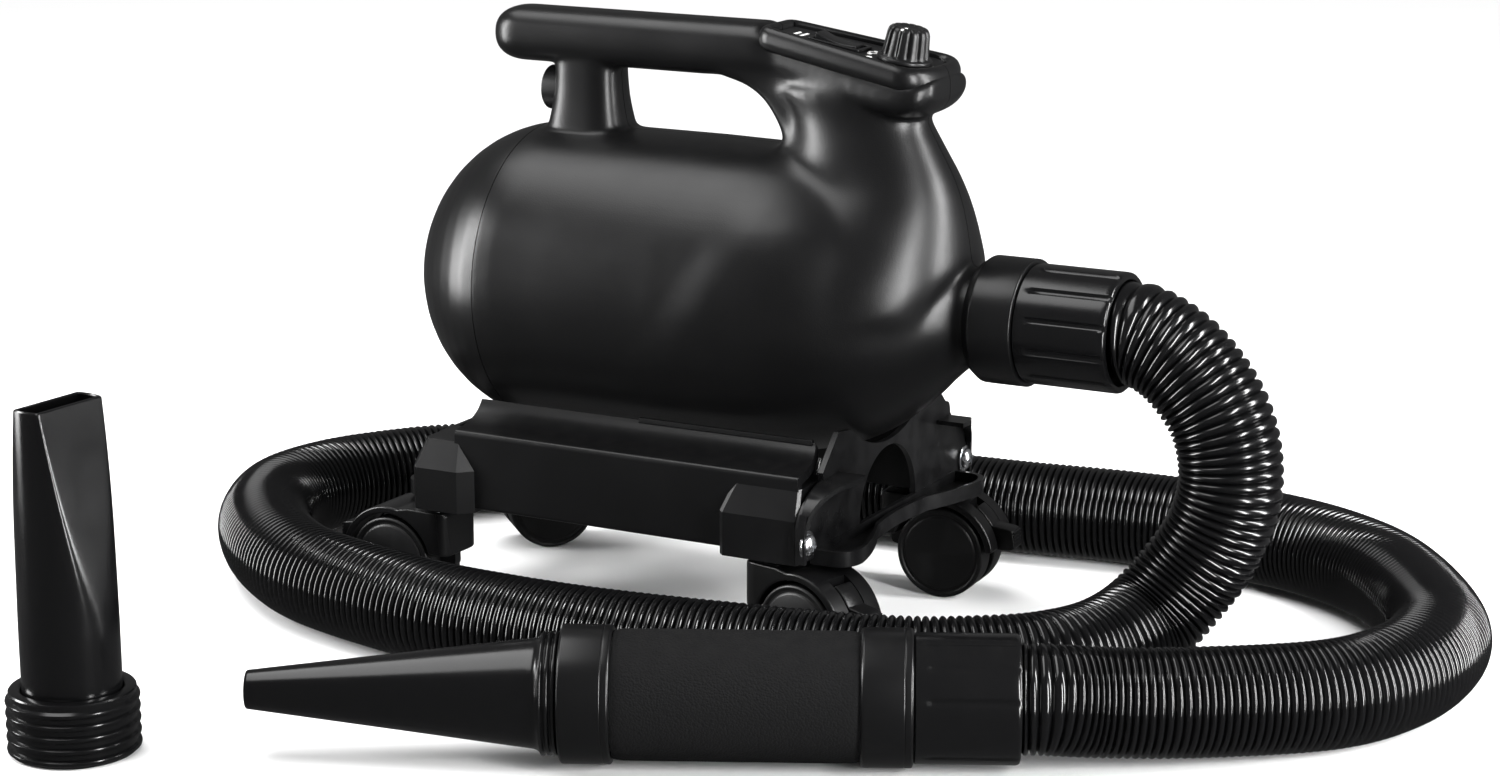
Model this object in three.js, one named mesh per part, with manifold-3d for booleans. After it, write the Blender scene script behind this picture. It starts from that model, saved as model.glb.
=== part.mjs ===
// Pet dryer: a force dryer on a wheeled dock, with its stretch hose, handset and flat nozzle.
// Units are millimetres, +Z up. The dryer's barrel lies along X with the air outlet towards +X.
// Everything is placed from the middle of the dock, on the floor. The finished group is then
// moved so that its origin is the middle of the footprint of all the rigid pieces.

import * as THREE from 'three';
import { mergeVertices } from 'three/addons/utils/BufferGeometryUtils.js';
import Module from 'manifold-3d';

const wasm = await Module();
wasm.setup();

// ---------------------------------------------------------------- driving dimensions

const GAP = 0.3;                    // clearance kept between neighbouring pieces
const WALL = 3;                     // thickness of the moulded casings

const AXIS_Z = 175.5;               // height of the barrel, motor and outlet axis
const BARREL_R = 82.5;
const SEAM_X = -82;                 // where the rear cover meets the casing
const DOME_X = -72;                 // where the barrel starts to draw in towards its rear end
const REAR_X = -149;                // rearmost point of the domed cover
const NECK_X = 182;                 // front end of the moulded outlet neck
const NECK_R = 25;

const HANDLE = { top: 321, thick: 30, width: 36, rear: -112, front: 52 };
const POST = { x: -55, halfLength: 18, halfWidth: 16, baseLength: 29, baseWidth: 24 };
const INLET = { face: -80, well: 10, z: 277, r: 12 };
const PANEL = {
  rear: 61, front: 149, rearZ: 317, frontZ: 302, rearHalf: 12.5, frontHalf: 23.5, thick: 2.4,
};
const KNOB = { x: 131, flangeR: 14.4, baseR: 12.4, topR: 10.8, height: 17.5, flutes: 12 };
const ROCKER = { x: 94, length: 25, width: 12 };

const COLLAR = { r: 33, length: 28 };
const CUFF = { r: 31, length: 50, flutes: 12 };
const HOSE = { r: 26.5, sides: 10, steps: 68 };

const HANDSET = {
  end: [271.3, -161.5], angle: 25.75, gripR: 31.2, gripLength: 116.5, collarLength: 24.5,
};
const CONE = { tipR: 9.3, baseR: 26.5, length: 150, threadR: 29.5, pitch: 3.2 };
const FLAT_NOZZLE = {
  at: [-138, -352], turn: 85, ringR: 32, tubeR: 23.9, height: 171, ringHeight: 32,
};

const DOCK = {
  wallY: 92, floorZ: 62, ridgeZ: 104, flangeZ: 116, flangeY: 64, rear: -88, front: 118,
};
const BLOCK = {
  inner: 62, outer: 99, front: [75, 121], rear: [-111, -76], bottom: 60, shoulder: 83, top: 98,
};
const BRIDGE = { cradleR: 71.5, armInner: 44.5, armTop: 119.5 };
const SCREW = { y: 96, rearY: 82, z: 71, headR: 6.2, washerR: 7.5 };
const TRAY_Z = 58.5;                 // underside of the end trays, just over the swivelling casters

const CASTER = { stemX: [97, -103], stemY: 77, wheelR: 25, trail: 28, hoodTop: 57 };
const CASTER_TURN = [-14, 3, 178, 225];       // rest swivel of each caster, degrees from +X

// ---------------------------------------------------------------- materials

const finishOf = (metalness) => (color, roughness) => new THREE.MeshStandardMaterial({
  color, roughness, metalness,
});
const plastic = finishOf(0);
const metal = finishOf(1);
const SATIN_BLACK = 0x1a1a1b;
const GLOSS_BLACK = 0x0e0e0f;
const RUBBER_BLACK = 0x19191a;
const ZINC = 0xc9cbcd;
const STEEL = 0x8d9093;
const GREY = 0x5b5d60;

// ---------------------------------------------------------------- solids

// A geometry with its shared vertices merged and its zero-area triangles dropped, facing out.
function weld(geometry) {
  const bare = geometry.clone();
  bare.deleteAttribute('normal');
  bare.deleteAttribute('uv');
  const merged = mergeVertices(bare, 1e-3);
  const index = merged.index.array;
  const p = merged.attributes.position.array;
  const kept = [];
  let volume = 0;
  for (let i = 0; i < index.length; i += 3) {
    const [a, b, c] = [index[i], index[i + 1], index[i + 2]];
    if (a === b || b === c || c === a) continue;
    kept.push(a, b, c);
    const [A, B, C] = [a, b, c].map((v) => new THREE.Vector3(p[3 * v], p[3 * v + 1], p[3 * v + 2]));
    volume += A.dot(B.cross(C));
  }
  if (volume < 0) kept.reverse();
  return { vertices: new Float32Array(p), triangles: new Uint32Array(kept) };
}

function solid(geometry) {
  const { vertices, triangles } = weld(geometry);
  return new wasm.Manifold(new wasm.Mesh({ numProp: 3, vertProperties: vertices, triVerts: triangles }));
}

function geometryOf(body) {
  const mesh = body.getMesh();
  const geometry = new THREE.BufferGeometry();
  geometry.setAttribute('position', new THREE.BufferAttribute(mesh.vertProperties, 3));
  geometry.setIndex(new THREE.BufferAttribute(mesh.triVerts, 1));
  geometry.computeVertexNormals();
  return geometry;
}

const joined = (...bodies) => bodies.reduce((sum, body) => sum.add(body));

// A box given by its two corners.
function boxBetween([x0, y0, z0], [x1, y1, z1]) {
  const box = new THREE.BoxGeometry(x1 - x0, y1 - y0, z1 - z0);
  return box.translate((x0 + x1) / 2, (y0 + y1) / 2, (z0 + z1) / 2);
}

// A solid of revolution about X from [x, radius] points that start and end on the axis, or a
// closed ring when they come back to the first point.
function turned(profile, sides, z = 0) {
  const lathe = new THREE.LatheGeometry(profile.map(([x, r]) => new THREE.Vector2(r, x)), sides);
  return lathe.rotateZ(-Math.PI / 2).translate(0, 0, z);
}

// A ring-shaped or tubular profile between two radii and two stations along the axis.
const ringProfile = (x0, x1, inner, outer) => [
  [x0, inner], [x0, outer], [x1, outer], [x1, inner], [x0, inner]];
const rodProfile = (x0, x1, radius) => [[x0, 0], [x0, radius], [x1, radius], [x1, 0]];

const shapeOf = (points) => new THREE.Shape(points.map(([u, v]) => new THREE.Vector2(u, v)));
const extruded = (outline, depth, curveSegments = 1) => new THREE.ExtrudeGeometry(outline, {
  depth, bevelEnabled: false, curveSegments,
});

// An outline drawn in Y and Z, extruded along X from the station x0.
const alongX = (outline, x0, depth, curveSegments) => extruded(outline, depth, curveSegments)
  .rotateX(Math.PI / 2).rotateZ(Math.PI / 2).translate(x0, 0, 0);

// A cylinder standing on Z.
const post = (radius, height, sides) => new THREE.CylinderGeometry(radius, radius, height, sides)
  .rotateX(Math.PI / 2);

// One ring of a loft: a superellipse round `at`, with half sizes a along u and b along v.
function oval(at, u, v, a, b, power = 2) {
  const root = (value) => Math.sign(value) * Math.abs(value) ** (2 / power);
  return (angle) => new THREE.Vector3(...at)
    .addScaledVector(u, a * root(Math.cos(angle)))
    .addScaledVector(v, b * root(Math.sin(angle)));
}

// A closed skin through a row of rings, made by moving the rows of a capped cylinder.
function loft(rings, sides) {
  const geometry = new THREE.CylinderGeometry(1, 1, 1, sides, rings.length - 1);
  const position = geometry.attributes.position;
  for (let i = 0; i < position.count; i += 1) {
    const [x, y, z] = [position.getX(i), position.getY(i), position.getZ(i)];
    const ring = rings[Math.round((0.5 - y) * (rings.length - 1))];
    const centre = ring(0).add(ring(Math.PI)).multiplyScalar(0.5);
    const step = Math.round((Math.atan2(x, z) / (2 * Math.PI)) * sides);
    const point = Math.hypot(x, z) < 0.5 ? centre : ring((step * 2 * Math.PI) / sides);
    position.setXYZ(i, point.x, point.y, point.z);
  }
  return geometry;
}

const X = new THREE.Vector3(1, 0, 0);
const Y = new THREE.Vector3(0, 1, 0);
const Z = new THREE.Vector3(0, 0, 1);

// ---------------------------------------------------------------- the object's groups

const dryer = new THREE.Group();
const dock = new THREE.Group();
const handset = new THREE.Group();

function add(parent, name, shape, material) {
  const geometry = shape.isBufferGeometry ? shape : geometryOf(shape);
  const mesh = new THREE.Mesh(geometry, material);
  mesh.name = name;
  parent.add(mesh);
  return mesh;
}

// ---------------------------------------------------------------- dryer casing

// The barrel's outline from the rear dome to the outlet neck; `inset` gives the inside face.
function barrelProfile(inset) {
  const r = BARREL_R - inset;
  const rear = REAR_X + inset;
  const dome = [0, 1, 2, 3, 4, 5].map((i) => (i * Math.PI) / 10).map((a) => [
    DOME_X - (DOME_X - rear) * Math.cos(a), r * Math.sin(a)]);
  const front = [[75, 81], [106, 75], [130, 63.5], [148, 49], [160, 37], [168, 29.5], [173, NECK_R + 1]]
    .map(([x, radius]) => [x - inset * 0.6, radius - inset]);
  const mouth = NECK_X + (inset ? 2 : 0);
  return [...dome, [25, r], ...front, [mouth, NECK_R + 1 - inset], [mouth, 0]];
}

const barrel = (inset) => solid(turned(barrelProfile(inset), 24, AXIS_Z));

function handleBar(inset) {
  const z = HANDLE.top - HANDLE.thick / 2;
  const [a, b] = [HANDLE.width / 2 - inset, HANDLE.thick / 2 - inset];
  const nose = [[0, 0.3], [2.5, 0.62], [8, 0.86], [18, 1]];
  const rings = nose.map(([x, size]) => oval([HANDLE.rear + inset + x, 0, z], Y, Z, a * size, b * size, 2.3));
  rings.push(oval([HANDLE.front, 0, z], Y, Z, a, b, 2.3));
  rings.push(oval([HANDLE.front + 20, 0, z - 5], Y, Z, a * 0.9, b * 0.75, 2.3));
  return solid(loft(rings, 12));
}

function rearPost(inset) {
  const rings = [
    oval([POST.x, 0, 245], X, Y, POST.baseLength - inset, POST.baseWidth - inset, 2.4),
    oval([POST.x, 0, 261], X, Y, POST.halfLength + 3.5 - inset, POST.halfWidth + 2 - inset, 2.4),
    oval([POST.x, 0, 296], X, Y, POST.halfLength - inset, POST.halfWidth - 1 - inset, 2.4),
  ];
  return solid(loft(rings, 12));
}

// The front pillar rises from the barrel's front shoulder and turns into the control head.
function pillar(inset) {
  const rings = [
    [196, 40, 171, 64], [212, 50, 169.5, 57], [230, 58, 166, 46], [246, 66, 160.5, 36],
    [262, 72, 152, 29], [276, 70, 144.5, 25.5], [290, 58, 148, 26],
  ].map(([z, back, front, halfWidth]) => oval(
    [(back + front) / 2, 0, z], X, Y, (front - back) / 2 - inset, halfWidth - inset, 2.1));
  return solid(loft(rings, 16));
}

function controlHead(inset) {
  const rings = [
    [44, 305, 10, 15], [62, 304.5, 14.5, 17], [85, 299, 15, 21], [110, 293.5, 14.5, 26],
    [136, 290, 13.5, 30], [150, 290.5, 11, 29], [157, 293.5, 7, 21],
  ].map(([x, z, halfHeight, halfWidth]) => oval(
    [x - (x > 155 ? inset : 0), 0, z], Y, Z, halfWidth - inset, halfHeight - inset, 2.6));
  return solid(loft(rings, 14));
}

const casingSolid = (inset) => joined(
  barrel(inset), handleBar(inset), rearPost(inset), pillar(inset), controlHead(inset));

// The shallow pocket in the head that the control panel lies in, as a slanted slab.
const panelSlope = (PANEL.frontZ - PANEL.rearZ) / (PANEL.front - PANEL.rear);
const panelHeightAt = (x) => PANEL.rearZ + panelSlope * (x - PANEL.rear);
const panelTilt = -Math.atan(panelSlope);

function panelSlab(grow, below, above) {
  const [rear, front] = [PANEL.rear - grow, PANEL.front + grow];
  const [rearHalf, frontHalf] = [PANEL.rearHalf + grow, PANEL.frontHalf + grow];
  const outline = new THREE.Shape();
  outline.moveTo(rear, -rearHalf);
  outline.lineTo(front - 12, -frontHalf);
  outline.quadraticCurveTo(front, -frontHalf, front, 0);
  outline.quadraticCurveTo(front, frontHalf, front - 12, frontHalf);
  outline.lineTo(rear, rearHalf);
  outline.closePath();
  const slab = extruded(outline, below + above, 4).translate(0, 0, -below);
  slab.applyMatrix4(new THREE.Matrix4().makeShear(0, panelSlope, 0, 0, 0, 0));
  return slab.translate(0, 0, panelHeightAt(0));
}

// Everything that stands in the casing's walls: bores and pockets with their clearance.
const inletBore = () => solid(turned(
  rodProfile(INLET.face - 15, INLET.face + 21, INLET.r + GAP), 20, INLET.z));
const neckBore = () => solid(turned(rodProfile(NECK_X - 14, NECK_X + 10, NECK_R - 3), 24, AXIS_Z));

const shell = casingSolid(0)
  .subtract(casingSolid(WALL))
  .subtract(neckBore())
  .subtract(inletBore())
  .subtract(solid(panelSlab(GAP, PANEL.thick + GAP, 20)))
  .subtract(solid(panelSlab(-5, 14, 1)));

const halfSpace = (side) => solid(boxBetween(
  [SEAM_X, side > 0 ? GAP / 2 : -120, 60], [200, side > 0 ? 120 : -GAP / 2, 340]));
const handleRear = (side) => solid(boxBetween(
  [-140, side > 0 ? GAP / 2 : -120, 264], [SEAM_X + 1, side > 0 ? 120 : -GAP / 2, 340]));
add(dryer, 'casing_left', shell.intersect(halfSpace(1).add(handleRear(1))), plastic(SATIN_BLACK, 0.42));
add(dryer, 'casing_right', shell.intersect(halfSpace(-1).add(handleRear(-1))), plastic(SATIN_BLACK, 0.42));

// The rear cover: the domed end of the barrel, with the air intake slots in its middle.
const intakeSlots = [-2, -1, 0, 1, 2].map((row) => solid(boxBetween(
  [REAR_X - 5, -34 + Math.abs(row) * 5, AXIS_Z + row * 13 - 3],
  [REAR_X + 30, 34 - Math.abs(row) * 5, AXIS_Z + row * 13 + 3])));
const rearSpace = solid(boxBetween([-160, -120, 60], [SEAM_X - GAP, 120, 264 - GAP]));
add(dryer, 'rear_cover', barrel(0).subtract(barrel(WALL)).intersect(rearSpace)
  .subtract(joined(...intakeSlots)), plastic(SATIN_BLACK, 0.42));

// ---------------------------------------------------------------- inside the casing

const foam = turned(rodProfile(SEAM_X - 22, SEAM_X - 8, 60), 24, AXIS_Z);
add(dryer, 'intake_filter', foam, plastic(GREY, 0.95));

const mountRing = turned(ringProfile(SEAM_X + 36, SEAM_X + 50, 56.5, 78.6), 24, AXIS_Z);
add(dryer, 'motor_mount', mountRing, plastic(RUBBER_BLACK, 0.9));

const motorCan = turned(ringProfile(SEAM_X + 8, 10, 50, 56), 24, AXIS_Z);
add(dryer, 'motor_can', motorCan, metal(STEEL, 0.45));

const motorShaft = turned([[SEAM_X + 6, 0], [SEAM_X + 6, 5], [SEAM_X + 20, 5], [SEAM_X + 20, 42],
  [-8, 42], [-8, 5], [20, 5], [20, 4], [62, 4], [62, 0]], 20, AXIS_Z);
add(dryer, 'motor_rotor', motorShaft, metal(STEEL, 0.4));

// The impeller: a back plate and hub with flat vanes standing on it.
const impellerDisc = solid(turned([
  [26, 4.3], [26, 62], [28.5, 62], [28.5, 12], [46, 9], [46, 4.3], [26, 4.3]], 24, AXIS_Z));
const vanes = Array.from({ length: 9 }, (_, i) => solid(
  boxBetween([28, 11, -1], [44, 60, 1]).rotateX((i * 2 * Math.PI) / 9).translate(0, 0, AXIS_Z)));
add(dryer, 'impeller', joined(impellerDisc, ...vanes), metal(0xb4b7ba, 0.4));

const fanCasing = turned([
  [14, 66], [14, 78], [64, 74], [96, 56], [96, 52], [62, 70], [18, 74], [18, 66], [14, 66]], 24, AXIS_Z);
add(dryer, 'fan_casing', fanCasing, plastic(GREY, 0.6));

const controlBoard = boxBetween([84, -14, 262], [86, 14, 286]);
add(dryer, 'control_board', controlBoard, plastic(0x1d4a2c, 0.6));

// ---------------------------------------------------------------- controls

const deckZ = panelHeightAt(KNOB.x);
const knobHole = solid(post(4, 20, 16).rotateY(panelTilt).translate(KNOB.x, 0, deckZ));
const rockerHole = solid(new THREE.BoxGeometry(ROCKER.length + 2, ROCKER.width + 2, 20).rotateY(panelTilt)
  .translate(ROCKER.x, 0, panelHeightAt(ROCKER.x)));
add(dryer, 'control_panel', solid(panelSlab(0, PANEL.thick, 0)).subtract(knobHole).subtract(rockerHole),
  plastic(0x202022, 0.5));

// The knob tapers upwards and has flutes cut round it; its local Z is its axis.
const knobRows = [
  [0, KNOB.flangeR], [2, KNOB.flangeR], [2.2, KNOB.baseR],
  [KNOB.height - 1.5, KNOB.topR], [KNOB.height, KNOB.topR - 1.2],
];
const knobBody = solid(loft(knobRows.map(([z, r]) => oval([0, 0, z], X, Y, r, r)), 24));
const flutes = Array.from({ length: KNOB.flutes }, (_, i) => solid(post(1.1, KNOB.height, 3)
  .translate(KNOB.topR + 1.6, 0, KNOB.height / 2 + 2.6).rotateZ((i * 2 * Math.PI) / KNOB.flutes)));
const knobSpindle = solid(post(3, 9, 16).translate(0, 0, -4));
const knobShape = knobBody.subtract(joined(...flutes)).add(knobSpindle);
const knob = add(dryer, 'speed_knob', knobShape, plastic(0x131314, 0.5));
knob.rotation.y = panelTilt;
knob.position.set(KNOB.x, 0, deckZ + 0.6);

const potBody = add(dryer, 'speed_control', post(10, 8, 20), metal(STEEL, 0.5));
potBody.rotation.y = panelTilt;
potBody.position.set(KNOB.x - 2.4, 0, deckZ - 14);

// The rocker is a shallow prism with two sloping faces, pivoting about its own Y axis.
const rockerOutline = shapeOf([[-12, -2.6], [12, -2.6], [12, 0.9], [0, -0.2], [-12, 3]]);
const rockerPrism = extruded(rockerOutline, ROCKER.width - 1)
  .rotateX(Math.PI / 2).translate(0, (ROCKER.width - 1) / 2, 0);
const rocker = add(dryer, 'power_rocker', rockerPrism, plastic(0x101011, 0.35));
rocker.rotation.y = panelTilt;
rocker.position.set(ROCKER.x, 0, panelHeightAt(ROCKER.x) + 1.4);

const switchBody = add(dryer, 'switch_body', new THREE.BoxGeometry(21, 11, 7), plastic(0x161617, 0.5));
switchBody.rotation.y = panelTilt;
switchBody.position.set(ROCKER.x - 1, 0, panelHeightAt(ROCKER.x) - 9.5);

// Power inlet: a round socket body with three pins at the bottom of its well.
const wellFloor = INLET.face + INLET.well;
const inletBody = solid(turned([[wellFloor, 0], [wellFloor, INLET.r - 1], [INLET.face, INLET.r - 1],
  [INLET.face, INLET.r], [INLET.face + 20, INLET.r], [INLET.face + 20, 0]], 24, INLET.z));
const inletPins = [[0, 5], [-5, -3], [5, -3]].map(([y, z]) => solid(boxBetween(
  [INLET.face + 5, y - 1, INLET.z + z - 2], [wellFloor + 1, y + 1, INLET.z + z + 2])));
add(dryer, 'power_inlet', joined(inletBody, ...inletPins), plastic(0x121213, 0.5));

// ---------------------------------------------------------------- air outlet

const collarStart = NECK_X - 4;
const collarEnd = collarStart + COLLAR.length;
const collarProfile = [
  [collarStart, NECK_R + 1.4], [collarStart, COLLAR.r - 4], [collarStart + 5, COLLAR.r],
  [collarEnd, COLLAR.r], [collarEnd, 22], [NECK_X + GAP, 22], [NECK_X + GAP, NECK_R + 1.4],
  [collarStart, NECK_R + 1.4],
];
add(dryer, 'outlet_collar', turned(collarProfile, 20, AXIS_Z), plastic(GLOSS_BLACK, 0.3));

// A hose cuff: a sleeve with shallow flutes along it, from x = 0 to its length.
function hoseCuff() {
  const sleeve = solid(turned([[0, 22], [0, CUFF.r], [CUFF.length - 2, CUFF.r], [CUFF.length, CUFF.r - 1.5],
    [CUFF.length, 22], [0, 22]], 24));
  const grooves = Array.from({ length: CUFF.flutes }, (_, i) => solid(
    boxBetween([8, -1.6, CUFF.r - 0.9], [CUFF.length + 2, 1.6, CUFF.r + 2])
      .rotateX((i * 2 * Math.PI) / CUFF.flutes)));
  return sleeve.subtract(joined(...grooves));
}
const outletCuff = add(dryer, 'outlet_cuff', hoseCuff(), plastic(GLOSS_BLACK, 0.25));
outletCuff.position.set(collarEnd + GAP, 0, AXIS_Z);
const cuffEnd = collarEnd + GAP + CUFF.length;

// ---------------------------------------------------------------- handset and nozzles

// The handset lies on the floor on its two collars; its local +X runs from the hose to the tip.
const handsetZ = COLLAR.r + 0.1;
handset.position.set(HANDSET.end[0], HANDSET.end[1], handsetZ);
handset.rotation.z = Math.PI + THREE.MathUtils.degToRad(HANDSET.angle);

const handsetCuff = add(handset, 'handset_cuff', hoseCuff(), plastic(GLOSS_BLACK, 0.3));
handsetCuff.rotation.y = Math.PI;
handsetCuff.position.x = CUFF.length;

const rearCollarX = CUFF.length + GAP;
const gripX = rearCollarX + HANDSET.collarLength + GAP;
const frontCollarX = gripX + HANDSET.gripLength + GAP;
const coneX = frontCollarX + HANDSET.collarLength;
const collarRing = (x, length, inner) => turned([
  [x, inner], [x, COLLAR.r - 1.5], [x + 1.5, COLLAR.r], [x + length - 1.5, COLLAR.r],
  [x + length, COLLAR.r - 1.5], [x + length, inner], [x, inner]], 24);
const rearCollar = collarRing(rearCollarX, HANDSET.collarLength, 27.4);
const gripTube = turned(ringProfile(rearCollarX + 1, coneX - 12, 24, 27), 24);
const gripSleeve = turned(ringProfile(gripX, gripX + HANDSET.gripLength, 27.6, HANDSET.gripR), 24);
const frontCollar = collarRing(frontCollarX, HANDSET.collarLength, 30.2);
add(handset, 'rear_collar', rearCollar, plastic(SATIN_BLACK, 0.35));
add(handset, 'grip_tube', gripTube, plastic(SATIN_BLACK, 0.5));
add(handset, 'grip_sleeve', gripSleeve, plastic(RUBBER_BLACK, 0.9));
add(handset, 'front_collar', frontCollar, plastic(SATIN_BLACK, 0.3));

// The cone nozzle: a ridged threaded base in the front collar, then the long taper, open through.
const ridge = (x, inner, outer) => [[x, inner], [x + 0.7, outer], [x + 1.9, outer], [x + 2.6, inner]];
const coneOuter = [[coneX - 11, 23], [coneX - 11, CONE.threadR - 1.6],
  ...[0, 1, 2].flatMap((i) => ridge(coneX + 0.5 + i * CONE.pitch, CONE.threadR - 1.4, CONE.threadR)),
  [coneX + 11, CONE.baseR], [coneX + CONE.length, CONE.tipR]];
const coneInner = [[coneX + CONE.length, CONE.tipR - 2], [coneX + 11, CONE.baseR - 3], [coneX - 11, 23]];
add(handset, 'cone_nozzle', turned([...coneOuter, ...coneInner], 22), plastic(GLOSS_BLACK, 0.25));

// The flat nozzle stands on its threaded base and narrows from a round tube to a slot.
function flatNozzleBody() {
  const { ringR, tubeR, height, ringHeight } = FLAT_NOZZLE;
  const rings = [
    [ringHeight - 6, 0], [0.52 * height, 0], [0.68 * height, 0.42], [0.84 * height, 0.82], [height, 1]];
  const skin = (inset, lift) => loft(rings.map(([z, flat], i) => oval(
    [0, 0, z + (i === 0 ? -lift : 0) + (i === rings.length - 1 ? lift : 0)], X, Y,
    tubeR * (1 - 0.06 * flat) - inset, tubeR * (1 - 0.67 * flat) - inset, 2 + 2.4 * flat)), 20);
  const pitch = ringHeight / 5.5;
  const ridges = Array.from({ length: 5 }, (_, i) => (i + 0.1) * pitch).flatMap((z) => [
    [z, ringR - 1.6], [z + 2, ringR], [z + 4, ringR - 1.6]]);
  const base = turned([[0, 0], [0, ringR - 2], ...ridges, [ringHeight, ringR - 1.8], [ringHeight, 0]], 20)
    .rotateY(-Math.PI / 2);
  const bore = turned(rodProfile(-2, ringHeight - 3, ringR - 5), 20).rotateY(-Math.PI / 2);
  return joined(solid(base), solid(skin(0, 0))).subtract(solid(bore)).subtract(solid(skin(1.8, 2)));
}
const flatNozzle = add(dryer, 'flat_nozzle', flatNozzleBody(), plastic(GLOSS_BLACK, 0.35));
flatNozzle.position.set(FLAT_NOZZLE.at[0], FLAT_NOZZLE.at[1], 0);
flatNozzle.rotation.z = THREE.MathUtils.degToRad(FLAT_NOZZLE.turn);

// ---------------------------------------------------------------- hose

// The hose's centre line: out of the outlet cuff, down to the floor, round the dock and back
// into the handset. Points are [x, y, z].
const H = HOSE.r + 0.2;
const hoseRoute = [
  [cuffEnd + GAP, 0, AXIS_Z], [cuffEnd + 8, 0, AXIS_Z], [286, 0, 164.5], [308, -1, 138], [315, -2, 106],
  [308, -5, 76], [294, -12, 52], [281, -27, 34], [270, -56, H], [253, -92, H], [228, -113, H],
  [198, -130, H], [150, -143, H], [42, -161, H], [-16, -163, H], [-68, -159, H], [-148, -138, H],
  [-181, -119, H], [-212, -92, H], [-239, -57, H], [-253, -20, H], [-248, 20, H], [-230, 54, H],
  [-202, 86, H], [-116, 134, H], [0, 155, H], [128, 165, H], [190, 173, H], [245, 174, H],
  [291, 167, H], [330, 150, H], [364, 122, H], [411, 46, H], [417, 8, H], [412, -29, H],
  [394, -66, H], [336, -118, H + 2], [300, -142, handsetZ - 2.5],
];
const towardHose = new THREE.Vector3(1, 0, 0).applyAxisAngle(Z, THREE.MathUtils.degToRad(HANDSET.angle));
const hoseEnd = handset.position.clone().addScaledVector(towardHose, GAP);
const hoseLead = hoseEnd.clone().addScaledVector(towardHose, 12);
const hosePoints = [...hoseRoute.map((p) => new THREE.Vector3(...p)), hoseLead, hoseEnd];
const hoseCurve = new THREE.CatmullRomCurve3(hosePoints, false, 'centripetal');
const hoseSection = new THREE.Shape(Array.from({ length: HOSE.sides }, (_, i) => new THREE.Vector2(
  HOSE.r * Math.cos((i * 2 * Math.PI) / HOSE.sides), HOSE.r * Math.sin((i * 2 * Math.PI) / HOSE.sides))));
const hoseTube = new THREE.ExtrudeGeometry(hoseSection, {
  steps: HOSE.steps, bevelEnabled: false, extrudePath: hoseCurve,
});
add(dryer, 'hose', hoseTube, plastic(GLOSS_BLACK, 0.25));

// ---------------------------------------------------------------- dock

// One side rail: the wall, its ridge and the hollow flange that hugs the barrel, with the two
// corner blocks that take the casters. side is -1 for the near rail and 1 for the far one.
function sideRail(side) {
  const section = new THREE.Shape();
  section.moveTo(DOCK.wallY, DOCK.floorZ);
  section.lineTo(DOCK.wallY, DOCK.ridgeZ - 3);
  section.lineTo(DOCK.wallY - 3, DOCK.ridgeZ);
  section.quadraticCurveTo(DOCK.flangeY + 6, DOCK.ridgeZ + 2, DOCK.flangeY, DOCK.flangeZ);
  section.lineTo(DOCK.flangeY - 3, DOCK.flangeZ - 1);
  section.quadraticCurveTo(DOCK.flangeY + 3, DOCK.ridgeZ - 2, DOCK.wallY - 5, DOCK.ridgeZ - 4);
  section.lineTo(DOCK.wallY - 4, DOCK.floorZ);
  section.closePath();
  const rail = alongX(section, DOCK.rear, DOCK.front - DOCK.rear, 5);
  const blockOutline = shapeOf([
    [BLOCK.inner, BLOCK.bottom], [BLOCK.outer, BLOCK.bottom], [BLOCK.outer, BLOCK.shoulder],
    [DOCK.wallY - 1, BLOCK.top], [BLOCK.inner, BLOCK.top]]);
  const blocks = [BLOCK.front, BLOCK.rear].map(([x0, x1]) => solid(alongX(blockOutline, x0, x1 - x0)));
  const sockets = CASTER.stemX.map((x) => solid(
    post(5.2, 40, 16).translate(x, CASTER.stemY, BLOCK.bottom + 10)));
  const whole = joined(solid(rail), ...blocks).subtract(joined(...sockets));
  return side > 0 ? whole : whole.mirror([0, 1, 0]);
}
add(dock, 'rail_near', sideRail(-1), plastic(SATIN_BLACK, 0.4));
add(dock, 'rail_far', sideRail(1), plastic(SATIN_BLACK, 0.4));

const screwY = (end) => (end > 0 ? SCREW.y : SCREW.rearY);

// The cross panel of an end bridge, drawn in Y and Z. The front one rises beside the barrel in
// two arms and has a rounded ear at each screw; the rear one stays low.
function bridgeOutline(end) {
  const [half, top] = end > 0 ? [SCREW.y + 6, 99] : [92, 95];
  const side = end > 0
    ? [[-77, 104], [-59, BRIDGE.armTop + 2], [-BRIDGE.armInner, BRIDGE.armTop]]
    : [[-62, top]];
  const outline = new THREE.Shape();
  outline.moveTo(-half, BLOCK.bottom + 2);
  outline.lineTo(-half, 80);
  outline.quadraticCurveTo(-half + 4, top - 5, -half + 26, top);
  side.forEach(([y, z]) => outline.lineTo(y, z));
  if (end > 0) {
    const spread = Math.asin(BRIDGE.armInner / BRIDGE.cradleR);
    outline.absarc(0, AXIS_Z, BRIDGE.cradleR, 1.5 * Math.PI - spread, 1.5 * Math.PI + spread, false);
  }
  side.reverse().forEach(([y, z]) => outline.lineTo(-y, z));
  outline.lineTo(half - 26, top);
  outline.quadraticCurveTo(half - 4, top - 5, half, 80);
  outline.lineTo(half, BLOCK.bottom + 2);
  outline.closePath();
  return outline;
}

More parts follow.
